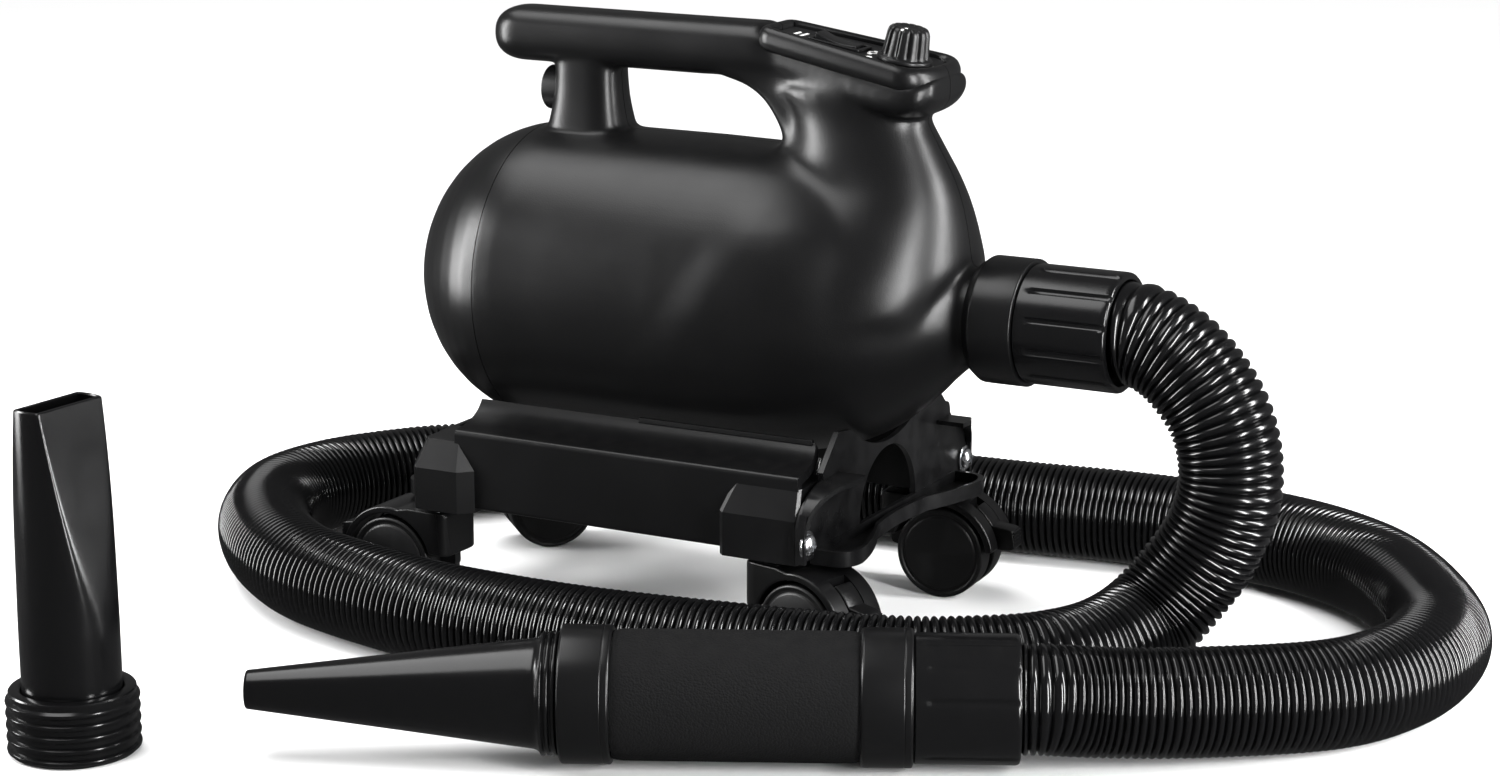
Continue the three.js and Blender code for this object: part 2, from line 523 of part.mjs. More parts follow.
// A tray along the foot of the bridge, wide over the casters and narrow in the middle.
function bridgeTray(x0, half) {
  const outline = new THREE.Shape();
  outline.moveTo(x0 + 1, -half);
  outline.lineTo(x0 + 13, -half);
  outline.quadraticCurveTo(x0 + 24, -half + 2, x0 + 24, -half + 14);
  outline.quadraticCurveTo(x0 + 22, -half + 32, x0 + 12, -half + 56);
  outline.quadraticCurveTo(x0 + 9, 0, x0 + 12, half - 56);
  outline.quadraticCurveTo(x0 + 22, half - 32, x0 + 24, half - 14);
  outline.quadraticCurveTo(x0 + 24, half - 2, x0 + 13, half);
  outline.lineTo(x0 + 1, half);
  outline.closePath();
  return solid(extruded(outline, 8, 4).translate(0, 0, TRAY_Z));
}

// The hood over a screw: the ear's rim drawn out forwards, furthest at its inner end.
function screwHood(x0, side) {
  const rim = new THREE.Shape();
  rim.moveTo(101, 80);
  rim.quadraticCurveTo(100, 95, 78, 100);
  rim.lineTo(62, 101);
  rim.lineTo(62, 98.5);
  rim.lineTo(77.5, 97.5);
  rim.quadraticCurveTo(97, 93, 98.5, 80);
  rim.closePath();
  const band = solid(alongX(rim, x0 + 2, 17, 4));
  const slope = solid(boxBetween([0, -60, -40], [40, 60, 40]).rotateZ(0.42).translate(x0 + 6, 100, 90));
  const hood = band.subtract(slope);
  return side > 0 ? hood : hood.mirror([0, 1, 0]);
}

// An end bridge between the rails: cross panel, tray and screw hoods. end is 1 for the front
// bridge and -1 for the rear one.
function endBridge(end) {
  const x0 = BLOCK.front[1] + GAP;
  const panel = solid(alongX(bridgeOutline(end), x0, 3, 8));
  const trayHalf = screwY(end) - SCREW.washerR - 1.5;
  const well = solid(boxBetween([x0 + 3, 4 - trayHalf, TRAY_Z + 2.5], [x0 + 8, trayHalf - 4, 90]));
  const [archR, archZ] = end > 0 ? [34, 67] : [24, 64];
  const arch = solid(post(archR, 8, 20).rotateY(Math.PI / 2).translate(x0, 0, archZ));
  const screwHoles = [-1, 1].map((side) => solid(
    post(2.8, 8, 12).rotateY(Math.PI / 2).translate(x0, side * screwY(end), SCREW.z)));
  const hoods = end > 0 ? [screwHood(x0, -1), screwHood(x0, 1)] : [];
  const whole = joined(panel.subtract(arch), bridgeTray(x0, trayHalf).subtract(well), ...hoods)
    .subtract(joined(...screwHoles));
  return end > 0 ? whole : whole.mirror([1, 0, 0]).translate([BLOCK.rear[0] + BLOCK.front[1], 0, 0]);
}
add(dock, 'front_bridge', endBridge(1), plastic(SATIN_BLACK, 0.4));
add(dock, 'rear_bridge', endBridge(-1), plastic(SATIN_BLACK, 0.4));

// A pan-head screw with its washer, its head towards +X; the shank stays in the bridge's hole.
function panScrew() {
  return turned([[-3, 0], [-3, 2.4], [0, 2.4], [0, SCREW.washerR], [1.2, SCREW.washerR], [1.2, SCREW.headR],
    [3.6, SCREW.headR - 1.4], [4.6, 0]], 10);
}
for (const [end, label] of [[1, 'front'], [-1, 'rear']]) {
  for (const [side, hand] of [[-1, 'near'], [1, 'far']]) {
    const screw = add(dock, `screw_${label}_${hand}`, panScrew(), metal(ZINC, 0.3));
    const faceX = end > 0 ? BLOCK.front[1] + 2 * GAP + 3 : BLOCK.rear[0] - 2 * GAP - 3;
    screw.position.set(faceX, side * screwY(end), SCREW.z);
    if (end < 0) screw.rotation.z = Math.PI;
  }
}

// ---------------------------------------------------------------- casters

// A hooded twin-wheel caster about its own stem axis, trailing towards local +X.
const WHEEL = { inner: 3.2, outer: 16.5 };
const HOOD = { inner: 27.2, outer: 31.2, halfWidth: 17 };
const LEVER = { slotX: 13, halfWidth: 6 };

function casterHood() {
  const [cx, cz] = [CASTER.trail, CASTER.wheelR];
  const outline = new THREE.Shape();
  outline.moveTo(-9, 32);
  outline.lineTo(-8, CASTER.hoodTop - 3);
  outline.lineTo(-5, CASTER.hoodTop);
  outline.lineTo(18, CASTER.hoodTop);
  outline.absarc(cx, cz, HOOD.outer, Math.PI * 0.56, Math.PI * 0.04, true);
  outline.absarc(cx, cz, HOOD.inner, Math.PI * 0.04, Math.PI * 0.9, false);
  outline.closePath();
  const cover = extruded(outline, 2 * HOOD.halfWidth, 4);
  cover.rotateX(Math.PI / 2).translate(0, HOOD.halfWidth, 0);
  const web = solid(boxBetween([-6, -2.6, 24], [cx, 2.6, 52]))
    .add(solid(new THREE.CylinderGeometry(8, 8, 5.2, 12).translate(cx, 0, cz)));
  const stemSocket = solid(post(4.3, 40, 12).translate(0, 0, 63));
  const axleHole = solid(new THREE.CylinderGeometry(3.3, 3.3, 40, 12).translate(cx, 0, cz));
  const slotHalf = LEVER.halfWidth + 0.8;
  const leverSlot = solid(boxBetween([cx + LEVER.slotX, -slotHalf, cz - 2], [cx + 40, slotHalf, 60]));
  return solid(cover).add(web).subtract(stemSocket).subtract(axleHole).subtract(leverSlot);
}

function casterWheel(side) {
  const { inner, outer } = WHEEL;
  const profile = [
    [inner, 3.4], [inner, CASTER.wheelR - 1], [inner + 1, CASTER.wheelR], [outer - 1.5, CASTER.wheelR],
    [outer, CASTER.wheelR - 2], [outer, 3.4], [inner, 3.4]];
  return turned(profile, 16).rotateZ((side * Math.PI) / 2);
}

// The brake lever: a band that follows the hood in its slot, pivots at its upper end and ends
// in a pedal that stands out behind the caster.
function brakeLever() {
  const [cx, cz] = [CASTER.trail, CASTER.wheelR];
  const outline = new THREE.Shape();
  outline.absarc(cx, cz, HOOD.outer, Math.PI * 0.31, Math.PI * 0.17, true);
  outline.lineTo(cx + 38, cz + 15);
  outline.lineTo(cx + 40, cz + 4);
  outline.lineTo(cx + HOOD.outer, cz + 3);
  outline.absarc(cx, cz, HOOD.inner + 0.4, Math.PI * 0.05, Math.PI * 0.31, false);
  outline.closePath();
  const arm = extruded(outline, 2 * LEVER.halfWidth, 5);
  return arm.rotateX(Math.PI / 2).translate(0, LEVER.halfWidth, 0);
}

const corners = [['front_near', 0, -1], ['front_far', 0, 1], ['rear_near', 1, -1], ['rear_far', 1, 1]];
corners.forEach(([label, row, side], i) => {
  const caster = new THREE.Group();
  caster.position.set(CASTER.stemX[row], side * CASTER.stemY, 0);
  caster.rotation.z = THREE.MathUtils.degToRad(CASTER_TURN[i]);
  add(caster, `caster_hood_${label}`, casterHood(), plastic(SATIN_BLACK, 0.45));
  add(caster, `caster_stem_${label}`, post(4, 34, 12).translate(0, 0, 61), metal(STEEL, 0.4));
  const axleRod = new THREE.CylinderGeometry(3, 3, 31, 12);
  const axle = add(caster, `caster_axle_${label}`, axleRod, metal(STEEL, 0.4));
  axle.position.set(CASTER.trail, 0, CASTER.wheelR);
  for (const [wheelSide, hand] of [[-1, 'a'], [1, 'b']]) {
    const wheel = add(caster, `wheel_${label}_${hand}`, casterWheel(wheelSide), plastic(0x151516, 0.6));
    wheel.position.set(CASTER.trail, 0, CASTER.wheelR);
  }
  add(caster, `brake_lever_${label}`, brakeLever(), plastic(SATIN_BLACK, 0.4));
  dock.add(caster);
});

// ---------------------------------------------------------------- the whole object

const petDryer = new THREE.Group();
petDryer.add(dryer, dock, handset);
petDryer.updateMatrixWorld(true);
const footprint = new THREE.Box3();
petDryer.traverse((mesh) => {
  if (mesh.isMesh && mesh.name !== 'hose') footprint.expandByObject(mesh, true);
});
const middle = footprint.getCenter(new THREE.Vector3());
petDryer.position.set(-middle.x, -middle.y, -footprint.min.z);

export default petDryer;
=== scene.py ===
# %% [markdown]
# # A pet dryer on a wheeled dock
# The dryer is a barrel-shaped blower with a carry handle. It rides on a low dock with four twin
# casters, and a long ribbed hose runs from its outlet to a handset with a cone nozzle. A flat
# nozzle stands beside it. The working model already fixes every size, axis and joint. This
# lesson builds the visible surfaces around it, one piece after another.

# %% Load the working model
import math

import bmesh
import bpy
import numpy as np
from mathutils import Matrix, Vector


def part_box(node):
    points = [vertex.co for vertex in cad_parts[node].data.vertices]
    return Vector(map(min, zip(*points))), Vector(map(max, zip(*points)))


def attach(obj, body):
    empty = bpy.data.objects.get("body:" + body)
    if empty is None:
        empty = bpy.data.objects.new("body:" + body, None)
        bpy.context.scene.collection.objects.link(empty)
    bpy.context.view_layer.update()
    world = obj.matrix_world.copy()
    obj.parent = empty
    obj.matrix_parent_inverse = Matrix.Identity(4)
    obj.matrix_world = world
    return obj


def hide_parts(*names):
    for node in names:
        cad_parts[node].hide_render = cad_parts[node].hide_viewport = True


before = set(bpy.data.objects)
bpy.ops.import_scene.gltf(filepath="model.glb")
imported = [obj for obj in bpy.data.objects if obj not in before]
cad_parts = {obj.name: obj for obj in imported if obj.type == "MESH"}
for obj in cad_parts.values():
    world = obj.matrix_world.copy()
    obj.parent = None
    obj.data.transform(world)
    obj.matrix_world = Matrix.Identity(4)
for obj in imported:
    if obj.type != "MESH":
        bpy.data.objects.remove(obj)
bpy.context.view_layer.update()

# %% [markdown]
# Everything is drawn in millimetres from one handy point: the floor under the middle of the
# dock, with the barrel along X. The outlet collar of the working model says where that point
# is, so one matrix turns the drawing's millimetres into the scene's metres. The alternative is
# to write scene metres everywhere, but a maker reads 82.5 mm more easily than 0.0825.

# %% The dock's own frame
MM = 0.001
COLLAR_START = 178.0      # where the outlet collar begins, from the middle of the dock
AXIS_Z = 175.5            # height of the barrel's axis
BARREL_R = 82.5
collar_low, collar_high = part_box("outlet_collar")
dock_middle = Vector((collar_low.x - COLLAR_START * MM, (collar_low.y + collar_high.y) / 2, 0))
TO_SCENE = Matrix.Translation(dock_middle) @ Matrix.Scale(MM, 4)


def at(x, y, z):
    """A point in millimetres from the dock's middle, in the scene's metres."""
    return TO_SCENE @ Vector((x, y, z))


print("dock middle", [round(v, 4) for v in dock_middle])

# %% [markdown]
# The camera stands low and to the front right, with a long lens, so that the barrel shows its
# near side and its outlet end. It is made first.

# %% Camera
scene = bpy.context.scene
camera_data = bpy.data.cameras.new("camera")
camera_data.sensor_width = 36
camera_data.lens = 79.7
camera = bpy.data.objects.new("camera", camera_data)
camera.location = at(855, -1530, 548)
camera.rotation_euler = (math.radians(76.2), 0, math.radians(28))
scene.collection.objects.link(camera)
scene.camera = camera
print("camera", [round(v, 3) for v in camera.location])

# %% [markdown]
# A skin is a row of rings with faces between them. Nearly every moulded shape here can be made
# from it: a lathe is a skin whose rings are circles, a loft is one whose rings change shape, and
# a prism has only two rings. One helper makes all three, so each piece needs only its rings.

# %% Rings to meshes
def mesh_from(name, points, faces):
    """An object from points in millimetres, with its faces turned outwards."""
    mesh = bpy.data.meshes.new(name)
    mesh.from_pydata([tuple(p) for p in points], [], faces)
    shape = bmesh.new()
    shape.from_mesh(mesh)
    bmesh.ops.remove_doubles(shape, verts=shape.verts, dist=1e-4)
    bmesh.ops.dissolve_degenerate(shape, edges=shape.edges, dist=1e-5)
    bmesh.ops.recalc_face_normals(shape, faces=shape.faces)
    shape.to_mesh(mesh)
    shape.free()
    obj = bpy.data.objects.new(name, mesh)
    scene.collection.objects.link(obj)
    return obj


def skin(name, rings, looped=False):
    """A closed surface through rings of points. looped joins the last ring to the first."""
    rings = np.asarray(rings, float)
    rows, around = rings.shape[:2]
    index = np.arange(rows * around).reshape(rows, around)
    here = index if looped else index[:-1]
    there = np.roll(index, -1, 0) if looped else index[1:]
    quads = np.stack([here, np.roll(here, -1, 1), np.roll(there, -1, 1), there], -1)
    faces = quads.reshape(-1, 4).tolist()
    if not looped:
        faces += [index[0][::-1].tolist(), index[-1].tolist()]
    return mesh_from(name, rings.reshape(-1, 3), faces)


def oval(centre, across, up, a, b, power=2.0, count=64):
    """One ring: a superellipse with half sizes a and b. A higher power is boxier."""
    angle = np.linspace(0, 2 * math.pi, count, endpoint=False)
    c, s = np.cos(angle), np.sin(angle)
    u = a * np.sign(c) * np.abs(c) ** (2 / power)
    v = b * np.sign(s) * np.abs(s) ** (2 / power)
    return np.array(centre) + np.outer(u, across) + np.outer(v, up)


X, Y, Z = np.eye(3)


def through(rows, steps=6):
    """More rows between the given ones, on a smooth curve through them."""
    rows = np.array(rows, float)
    padded = np.vstack([2 * rows[0] - rows[1], rows, 2 * rows[-1] - rows[-2]])
    out = []
    for p0, p1, p2, p3 in zip(padded, padded[1:], padded[2:], padded[3:]):
        for t in np.arange(steps) / steps:
            out.append(0.5 * (2 * p1 + (p2 - p0) * t + (2 * p0 - 5 * p1 + 4 * p2 - p3) * t * t
                              + (3 * p1 - p0 - 3 * p2 + p3) * t ** 3))
    return np.array(out + [rows[-1]])


# %% [markdown]
# Moulded parts never have knife edges, and the thin highlight along an eased edge is most of
# what the eye reads on black plastic. So outlines are eased before they are turned or extruded,
# and the remaining edges get a bevel.

# %% Outlines, lathes and prisms
def eased(points, radius, steps=4, closed=True):
    """An outline with its corners rounded off over about that radius."""
    points = [Vector(p) for p in points]
    out = []
    for i, corner in enumerate(points):
        before, after = points[i - 1] - corner, points[(i + 1) % len(points)] - corner
        ends = not closed and i in (0, len(points) - 1)
        if ends or before.length < 1e-6 or after.length < 1e-6 or before.angle(after) > 2.9:
            out.append(corner)
            continue
        reach = min(radius, 0.45 * before.length, 0.45 * after.length)
        start, end = corner + before.normalized() * reach, corner + after.normalized() * reach
        for t in (k / steps for k in range(steps + 1)):
            out.append(start.lerp(corner, t).lerp(corner.lerp(end, t), t))
    return [tuple(p) for p in out]


def bend(start, pull, end, steps=10):
    """Points on a curve from start to end that leans towards pull, without its first point."""
    start, pull, end = Vector(start), Vector(pull), Vector(end)
    return [tuple(start.lerp(pull, t).lerp(pull.lerp(end, t), t))
            for t in (k / steps for k in range(1, steps + 1))]


def arc(centre, radius, first, last, steps=24):
    """Points on an arc, with its angles in degrees."""
    return [(centre[0] + radius * math.cos(a), centre[1] + radius * math.sin(a))
            for a in np.radians(np.linspace(first, last, steps + 1))]


def lathe(name, profile, looped=True, sides=96, z=0.0):
    """A solid turned about X from [x, radius] points."""
    angle = np.linspace(0, 2 * math.pi, sides, endpoint=False)
    rings = [np.stack([np.full(sides, x), r * np.cos(angle), z + r * np.sin(angle)], -1)
             for x, r in profile]
    return skin(name, rings, looped)


def prism(name, outline, axis, low, high):
    """An outline extruded along an axis. It is drawn in the other two, in the order x, y, z."""
    rings = []
    for level in (low, high):
        ring = [list(p) for p in outline]
        for p in ring:
            p.insert("XYZ".index(axis), level)
        rings.append(ring)
    return skin(name, rings)


def box(name, low, high):
    outline = [(low[0], low[1]), (high[0], low[1]), (high[0], high[1]), (low[0], high[1])]
    return prism(name, outline, "Z", low[2], high[2])


# %% [markdown]
# Booleans do what the mould's inserts do: they leave the holes. Each result is baked into a
# plain mesh at once, so that a piece holds no reference to the shapes that cut it.

# %% Joining, cutting and finishing
def bake(obj):
    """Turns an object's modifiers into its mesh."""
    graph = bpy.context.evaluated_depsgraph_get()
    graph.update()
    made = bpy.data.meshes.new_from_object(obj.evaluated_get(graph))
    obj.modifiers.clear()
    obj.data = made
    return obj


def combine(obj, tools, operation):
    """Joins (UNION), cuts (DIFFERENCE) or keeps (INTERSECT), and removes the tools."""
    for tool in tools:
        step = obj.modifiers.new("step", "BOOLEAN")
        step.operation, step.object, step.solver = operation, tool, "MANIFOLD"
    bake(obj)
    for tool in tools:
        bpy.data.objects.remove(tool)
    return obj


def turn(obj, matrix):
    obj.data.transform(matrix)
    return obj


def bevel(obj, width=0.8, segments=3, angle=32):
    """Rounds every edge sharper than the angle."""
    step = obj.modifiers.new("bevel", "BEVEL")
    step.width, step.segments, step.limit_method = width, segments, "ANGLE"
    step.angle_limit = math.radians(angle)
    return bake(obj)


def joined(name, objects):
    """Several loose meshes as one piece."""
    shape = bmesh.new()
    for obj in objects:
        shape.from_mesh(obj.data)
        bpy.data.objects.remove(obj)
    mesh = bpy.data.meshes.new(name)
    shape.to_mesh(mesh)
    shape.free()
    made = bpy.data.objects.new(name, mesh)
    scene.collection.objects.link(made)
    return made


def finish(obj, name, body, material, stands_for=(), sharp=38, flat_faces=False):
    """Moves a drawn piece into the scene, shades it and ties it to its body."""
    obj.name = name
    obj.data.transform(TO_SCENE)
    obj.data.shade_smooth()
    obj.data.set_sharp_from_angle(angle=math.radians(sharp))
    if flat_faces:
        step = obj.modifiers.new("face_normals", "WEIGHTED_NORMAL")
        step.keep_sharp, step.weight = True, 90
        bake(obj)
    obj.data.materials.clear()
    obj.data.materials.append(material)
    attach(obj, body)
    if stands_for:
        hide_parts(*stands_for)
    print(f"{name}: {len(obj.data.polygons)} faces on {body}")
    return obj


# %% [markdown]
# Black plastic is not one black. The casing is satin with a fine moulded grain, the hose and
# the nozzles are glossy, and the grip is a matt foam. They share some effects: grain, faint
# handling smears, dust that settles on top faces and slightly paler edges. Each effect is
# a node group that gives out a height, a value or a mask, and each material places it with its
# own numbers. Painted textures could do this too, but they would not follow a changed mesh.

# %% Shared effects
def effect(name, inputs, outputs):
    """A new shader node group with named number sockets, and its two end nodes."""
    group = bpy.data.node_groups.new(name, "ShaderNodeTree")
    for label, value in inputs.items():
        made = group.interface.new_socket(label, in_out="INPUT", socket_type="NodeSocketFloat")
        made.default_value = value
    for label in outputs:
        group.interface.new_socket(label, in_out="OUTPUT", socket_type="NodeSocketFloat")
    return group, group.nodes.new("NodeGroupInput"), group.nodes.new("NodeGroupOutput")


def place(tree, kind, links=None, **settings):
    """A node with its settings, and its inputs linked or set by name."""
    node = tree.nodes.new(kind)
    for label, value in settings.items():
        setattr(node, label, value)
    for label, value in (links or {}).items():
        socket = node.inputs[label]
        if isinstance(value, bpy.types.NodeSocket):
            tree.links.new(value, socket)
        else:
            socket.default_value = value
    return node


def noise(tree, scale, detail=3.0, roughness=0.5):
    coordinates = place(tree, "ShaderNodeTexCoord").outputs["Object"]
    return place(tree, "ShaderNodeTexNoise", {
        "Vector": coordinates, "Scale": scale, "Detail": detail, "Roughness": roughness})


def ranged(tree, value, low, high, to_low=0.0, to_high=1.0):
    made = place(tree, "ShaderNodeMapRange", {
        "Value": value, "From Min": low, "From Max": high, "To Min": to_low, "To Max": to_high})
    return made.outputs["Result"]


def product(tree, a, b):
    return place(tree, "ShaderNodeMath", {0: a, 1: b}, operation="MULTIPLY").outputs[0]


grain, start, end = effect("moulded_grain", {"Scale": 1500, "Pits": 0.3}, ["Height"])
fine = noise(grain, start.outputs["Scale"], 2.0, 0.6)
cells = place(grain, "ShaderNodeTexVoronoi", {
    "Vector": place(grain, "ShaderNodeTexCoord").outputs["Object"], "Scale": start.outputs["Scale"]})
pits = product(grain, cells.outputs["Distance"], start.outputs["Pits"])
total = place(grain, "ShaderNodeMath", {0: fine.outputs["Fac"], 1: pits}, operation="SUBTRACT")
grain.links.new(total.outputs[0], end.inputs["Height"])

smears, start, end = effect("handling_smears", {"Base": 0.4, "Spread": 0.08}, ["Roughness"])
broad = noise(smears, 22.0, 4.0, 0.6)
centred = ranged(smears, broad.outputs["Fac"], 0.3, 0.7, -1.0, 1.0)
shift = product(smears, centred, start.outputs["Spread"])
total = place(smears, "ShaderNodeMath", {0: shift, 1: start.outputs["Base"]}, operation="ADD")
smears.links.new(total.outputs[0], end.inputs["Roughness"])

dust, start, end = effect("settled_dust", {"Amount": 0.05}, ["Mask"])
facing = place(dust, "ShaderNodeSeparateXYZ", {
    "Vector": place(dust, "ShaderNodeNewGeometry").outputs["Normal"]})
upward = ranged(dust, facing.outputs["Z"], 0.55, 1.0)
patches = ranged(dust, noise(dust, 140.0, 5.0, 0.7).outputs["Fac"], 0.42, 0.75)
dust.links.new(product(dust, product(dust, upward, patches), start.outputs["Amount"]),
               end.inputs["Mask"])

edges, start, end = effect("pale_edges", {"Amount": 0.3}, ["Mask"])
convex = place(edges, "ShaderNodeNewGeometry").outputs["Pointiness"]
rubbed = ranged(edges, noise(edges, 90.0, 3.0).outputs["Fac"], 0.35, 0.65)
raised = ranged(edges, convex, 0.53, 0.62)
edges.links.new(product(edges, product(edges, raised, rubbed), start.outputs["Amount"]),
                end.inputs["Mask"])
print("effects", [g.name for g in (grain, smears, dust, edges)])

# %% [markdown]
# A finish is a Principled surface with those effects wired in. The numbers that are the same
# all over a piece sit on the shader itself, and only what varies comes through the groups.

# %% Finishes
def use(tree, group, **values):
    node = tree.nodes.new("ShaderNodeGroup")
    node.node_tree = group
    for label, value in values.items():
        node.inputs[label].default_value = value
    return node.outputs[0]


def tinted(tree, base, colour, mask):
    """The base colour moved towards another by a mask."""
    mix = place(tree, "ShaderNodeMix", data_type="RGBA")
    tree.links.new(mask, mix.inputs["Factor"])
    for socket, value in ((mix.inputs[6], base), (mix.inputs[7], colour)):
        if isinstance(value, bpy.types.NodeSocket):
            tree.links.new(value, socket)
        else:
            socket.default_value = (*value, 1)
    return mix.outputs[2]


def surface(name, colour, roughness, spread=0.05, grain_scale=1500, grain_depth=0.05,
            dusty=0.04, edge=0.25, metal=0.0, coat=0.0, pits=0.3, sheen=0.32):
    """A finish with grain, smears, dust and pale edges; sheen is how much a plastic mirrors."""
    material = bpy.data.materials.new(name)
    material.use_nodes = True
    tree = material.node_tree
    shader = tree.nodes["Principled BSDF"]
    paler = [min(1.0, c * 2.5 + 0.006) for c in colour]
    worn = tinted(tree, colour, paler, use(tree, edges, Amount=edge))
    dusted = tinted(tree, worn, (0.45, 0.43, 0.40), use(tree, dust, Amount=dusty))
    tree.links.new(dusted, shader.inputs["Base Color"])
    tree.links.new(use(tree, smears, Base=roughness, Spread=spread), shader.inputs["Roughness"])
    bump = place(tree, "ShaderNodeBump", {
        "Strength": 1.0, "Distance": grain_depth * MM,
        "Height": use(tree, grain, Scale=grain_scale, Pits=pits)})
    tree.links.new(bump.outputs["Normal"], shader.inputs["Normal"])
    shader.inputs["Metallic"].default_value = metal
    shader.inputs["Specular IOR Level"].default_value = 0.5 if metal else sheen
    shader.inputs["Coat Weight"].default_value = coat
    shader.inputs["Coat Roughness"].default_value = 0.12
    return material


satin_case = surface("satin_case", (0.0026, 0.0026, 0.0028), 0.33, 0.03, 1400, 0.05, 0.004, 0.15)
satin_dock = surface("satin_dock", (0.0026, 0.0026, 0.0028), 0.30, 0.03, 1700, 0.03, 0.006, 0.35)
gloss_tool = surface("gloss_tool", (0.0024, 0.0024, 0.0026), 0.20, 0.03, 700, 0.006, 0.003, 0.20, sheen=0.4)
satin_tool = surface("satin_tool", (0.0026, 0.0026, 0.0028), 0.30, 0.03, 1500, 0.02, 0.004, 0.25, sheen=0.34)
gloss_hose = surface("gloss_hose", (0.0022, 0.0022, 0.0024), 0.17, 0.04, 500, 0.005, 0.003, 0.10, sheen=0.4)
foam_grip = surface("foam_grip", (0.0040, 0.0040, 0.0042), 0.78, 0.06, 900, 0.25, 0.006, 0.10,
                    pits=0.9, sheen=0.1)
wheel_tread = surface("wheel_tread", (0.0030, 0.0030, 0.0032), 0.42, 0.05, 1800, 0.03, 0.008, 0.30)
dark_panel = surface("dark_panel", (0.0045, 0.0045, 0.0048), 0.45, 0.03, 2200, 0.03, 0.005, 0.25)
knob_satin = surface("knob_satin", (0.0050, 0.0050, 0.0053), 0.34, 0.03, 1800, 0.02, 0.006, 0.40)
bright_zinc = surface("bright_zinc", (0.78, 0.79, 0.81), 0.24, 0.06, 900, 0.01, 0.02, 0.0, metal=1.0)
plain_steel = surface("plain_steel", (0.46, 0.47, 0.48), 0.38, 0.06, 900, 0.02, 0.05, 0.0, metal=1.0)
cast_aluminium = surface("cast_aluminium", (0.6, 0.61, 0.62), 0.45, 0.05, 600, 0.06, 0.03, 0.0, metal=1.0)
grey_moulding = surface("grey_moulding", (0.11, 0.11, 0.115), 0.55, 0.05, 1400, 0.04, 0.05, 0.2)
filter_foam = surface("filter_foam", (0.03, 0.03, 0.032), 0.92, 0.03, 500, 0.8, 0.15, 0.0, pits=1.4)
soft_rubber = surface("soft_rubber", (0.015, 0.015, 0.015), 0.7, 0.05, 900, 0.05, 0.08, 0.1)
circuit_green = surface("circuit_green", (0.015, 0.07, 0.03), 0.35, 0.04, 300, 0.05, 0.03, 0.0)
mark_white = surface("mark_white", (0.75, 0.75, 0.74), 0.5, 0.03, 1800, 0.01, 0.0, 0.0)
print("finishes", len(bpy.data.materials))

# %% [markdown]
# The hose is a stretch hose: a thin wall moulded into round ribs, which spread on the outside
# of a bend and close up on the inside. It leaves the outlet cuff straight, drops to the floor,
# loops round the whole dock and comes back into the handset. A bevelled curve would give its
# path but not its ribs, so the rings are laid along the path one by one, eight to a rib. The
# route is the same list of points that the working model follows.

# %% The hose's route
CUFF_END = 256.3
HOSE_R = 26.5
LIE = HOSE_R + 0.2                     # height of the centre line where it lies on the floor
HANDSET_END, HANDSET_ANGLE, HANDSET_Z = (271.3, -161.5), math.radians(25.75), 33.1
toward_hose = np.array([math.cos(HANDSET_ANGLE), math.sin(HANDSET_ANGLE), 0])
handset_end = np.array([*HANDSET_END, HANDSET_Z])
hose_route = [
    [CUFF_END + 0.3, 0, AXIS_Z], [CUFF_END + 8, 0, AXIS_Z], [286, 0, 164.5], [308, -1, 138],
    [315, -2, 106], [308, -5, 76], [294, -12, 52], [281, -27, 34], [270, -56, LIE], [253, -92, LIE],
    [228, -113, LIE], [198, -130, LIE], [150, -143, LIE], [42, -161, LIE], [-16, -163, LIE],
    [-68, -159, LIE], [-148, -138, LIE], [-181, -119, LIE], [-212, -92, LIE], [-239, -57, LIE],
    [-253, -20, LIE], [-248, 20, LIE], [-230, 54, LIE], [-202, 86, LIE], [-116, 134, LIE],
    [0, 155, LIE], [128, 165, LIE], [190, 173, LIE], [245, 174, LIE], [291, 167, LIE], [330, 150, LIE],
    [364, 122, LIE], [411, 46, LIE], [417, 8, LIE], [412, -29, LIE], [394, -66, LIE],
    [336, -118, LIE + 2], [300, -142, HANDSET_Z - 2.5],
]
hose_end = handset_end + 0.3 * toward_hose
hose_route = np.array(hose_route + [hose_end + 12 * toward_hose, hose_end])


def centripetal(points, steps=40):
    """A smooth curve through the points that does not overshoot where they crowd."""
    points = np.vstack([2 * points[0] - points[1], points, 2 * points[-1] - points[-2]])
    out = []
    for p0, p1, p2, p3 in zip(points, points[1:], points[2:], points[3:]):
        d0, d1, d2 = (math.sqrt(np.linalg.norm(b - a)) for a, b in ((p0, p1), (p1, p2), (p2, p3)))
        m1 = ((p1 - p0) / d0 - (p2 - p0) / (d0 + d1) + (p2 - p1) / d1) * d1
        m2 = ((p2 - p1) / d1 - (p3 - p1) / (d1 + d2) + (p3 - p2) / d2) * d1
        for t in np.arange(steps) / steps:
            out.append(p1 + m1 * t + (3 * (p2 - p1) - 2 * m1 - m2) * t * t
                       + (2 * (p1 - p2) + m1 + m2) * t ** 3)
    return np.array(out + [points[-2]])


hose_line = centripetal(hose_route)
run = np.concatenate([[0], np.cumsum(np.linalg.norm(np.diff(hose_line, axis=0), axis=1))])
HOSE_LENGTH = run[-1]
print(f"hose {HOSE_LENGTH:.0f} mm through {len(hose_route)} points")

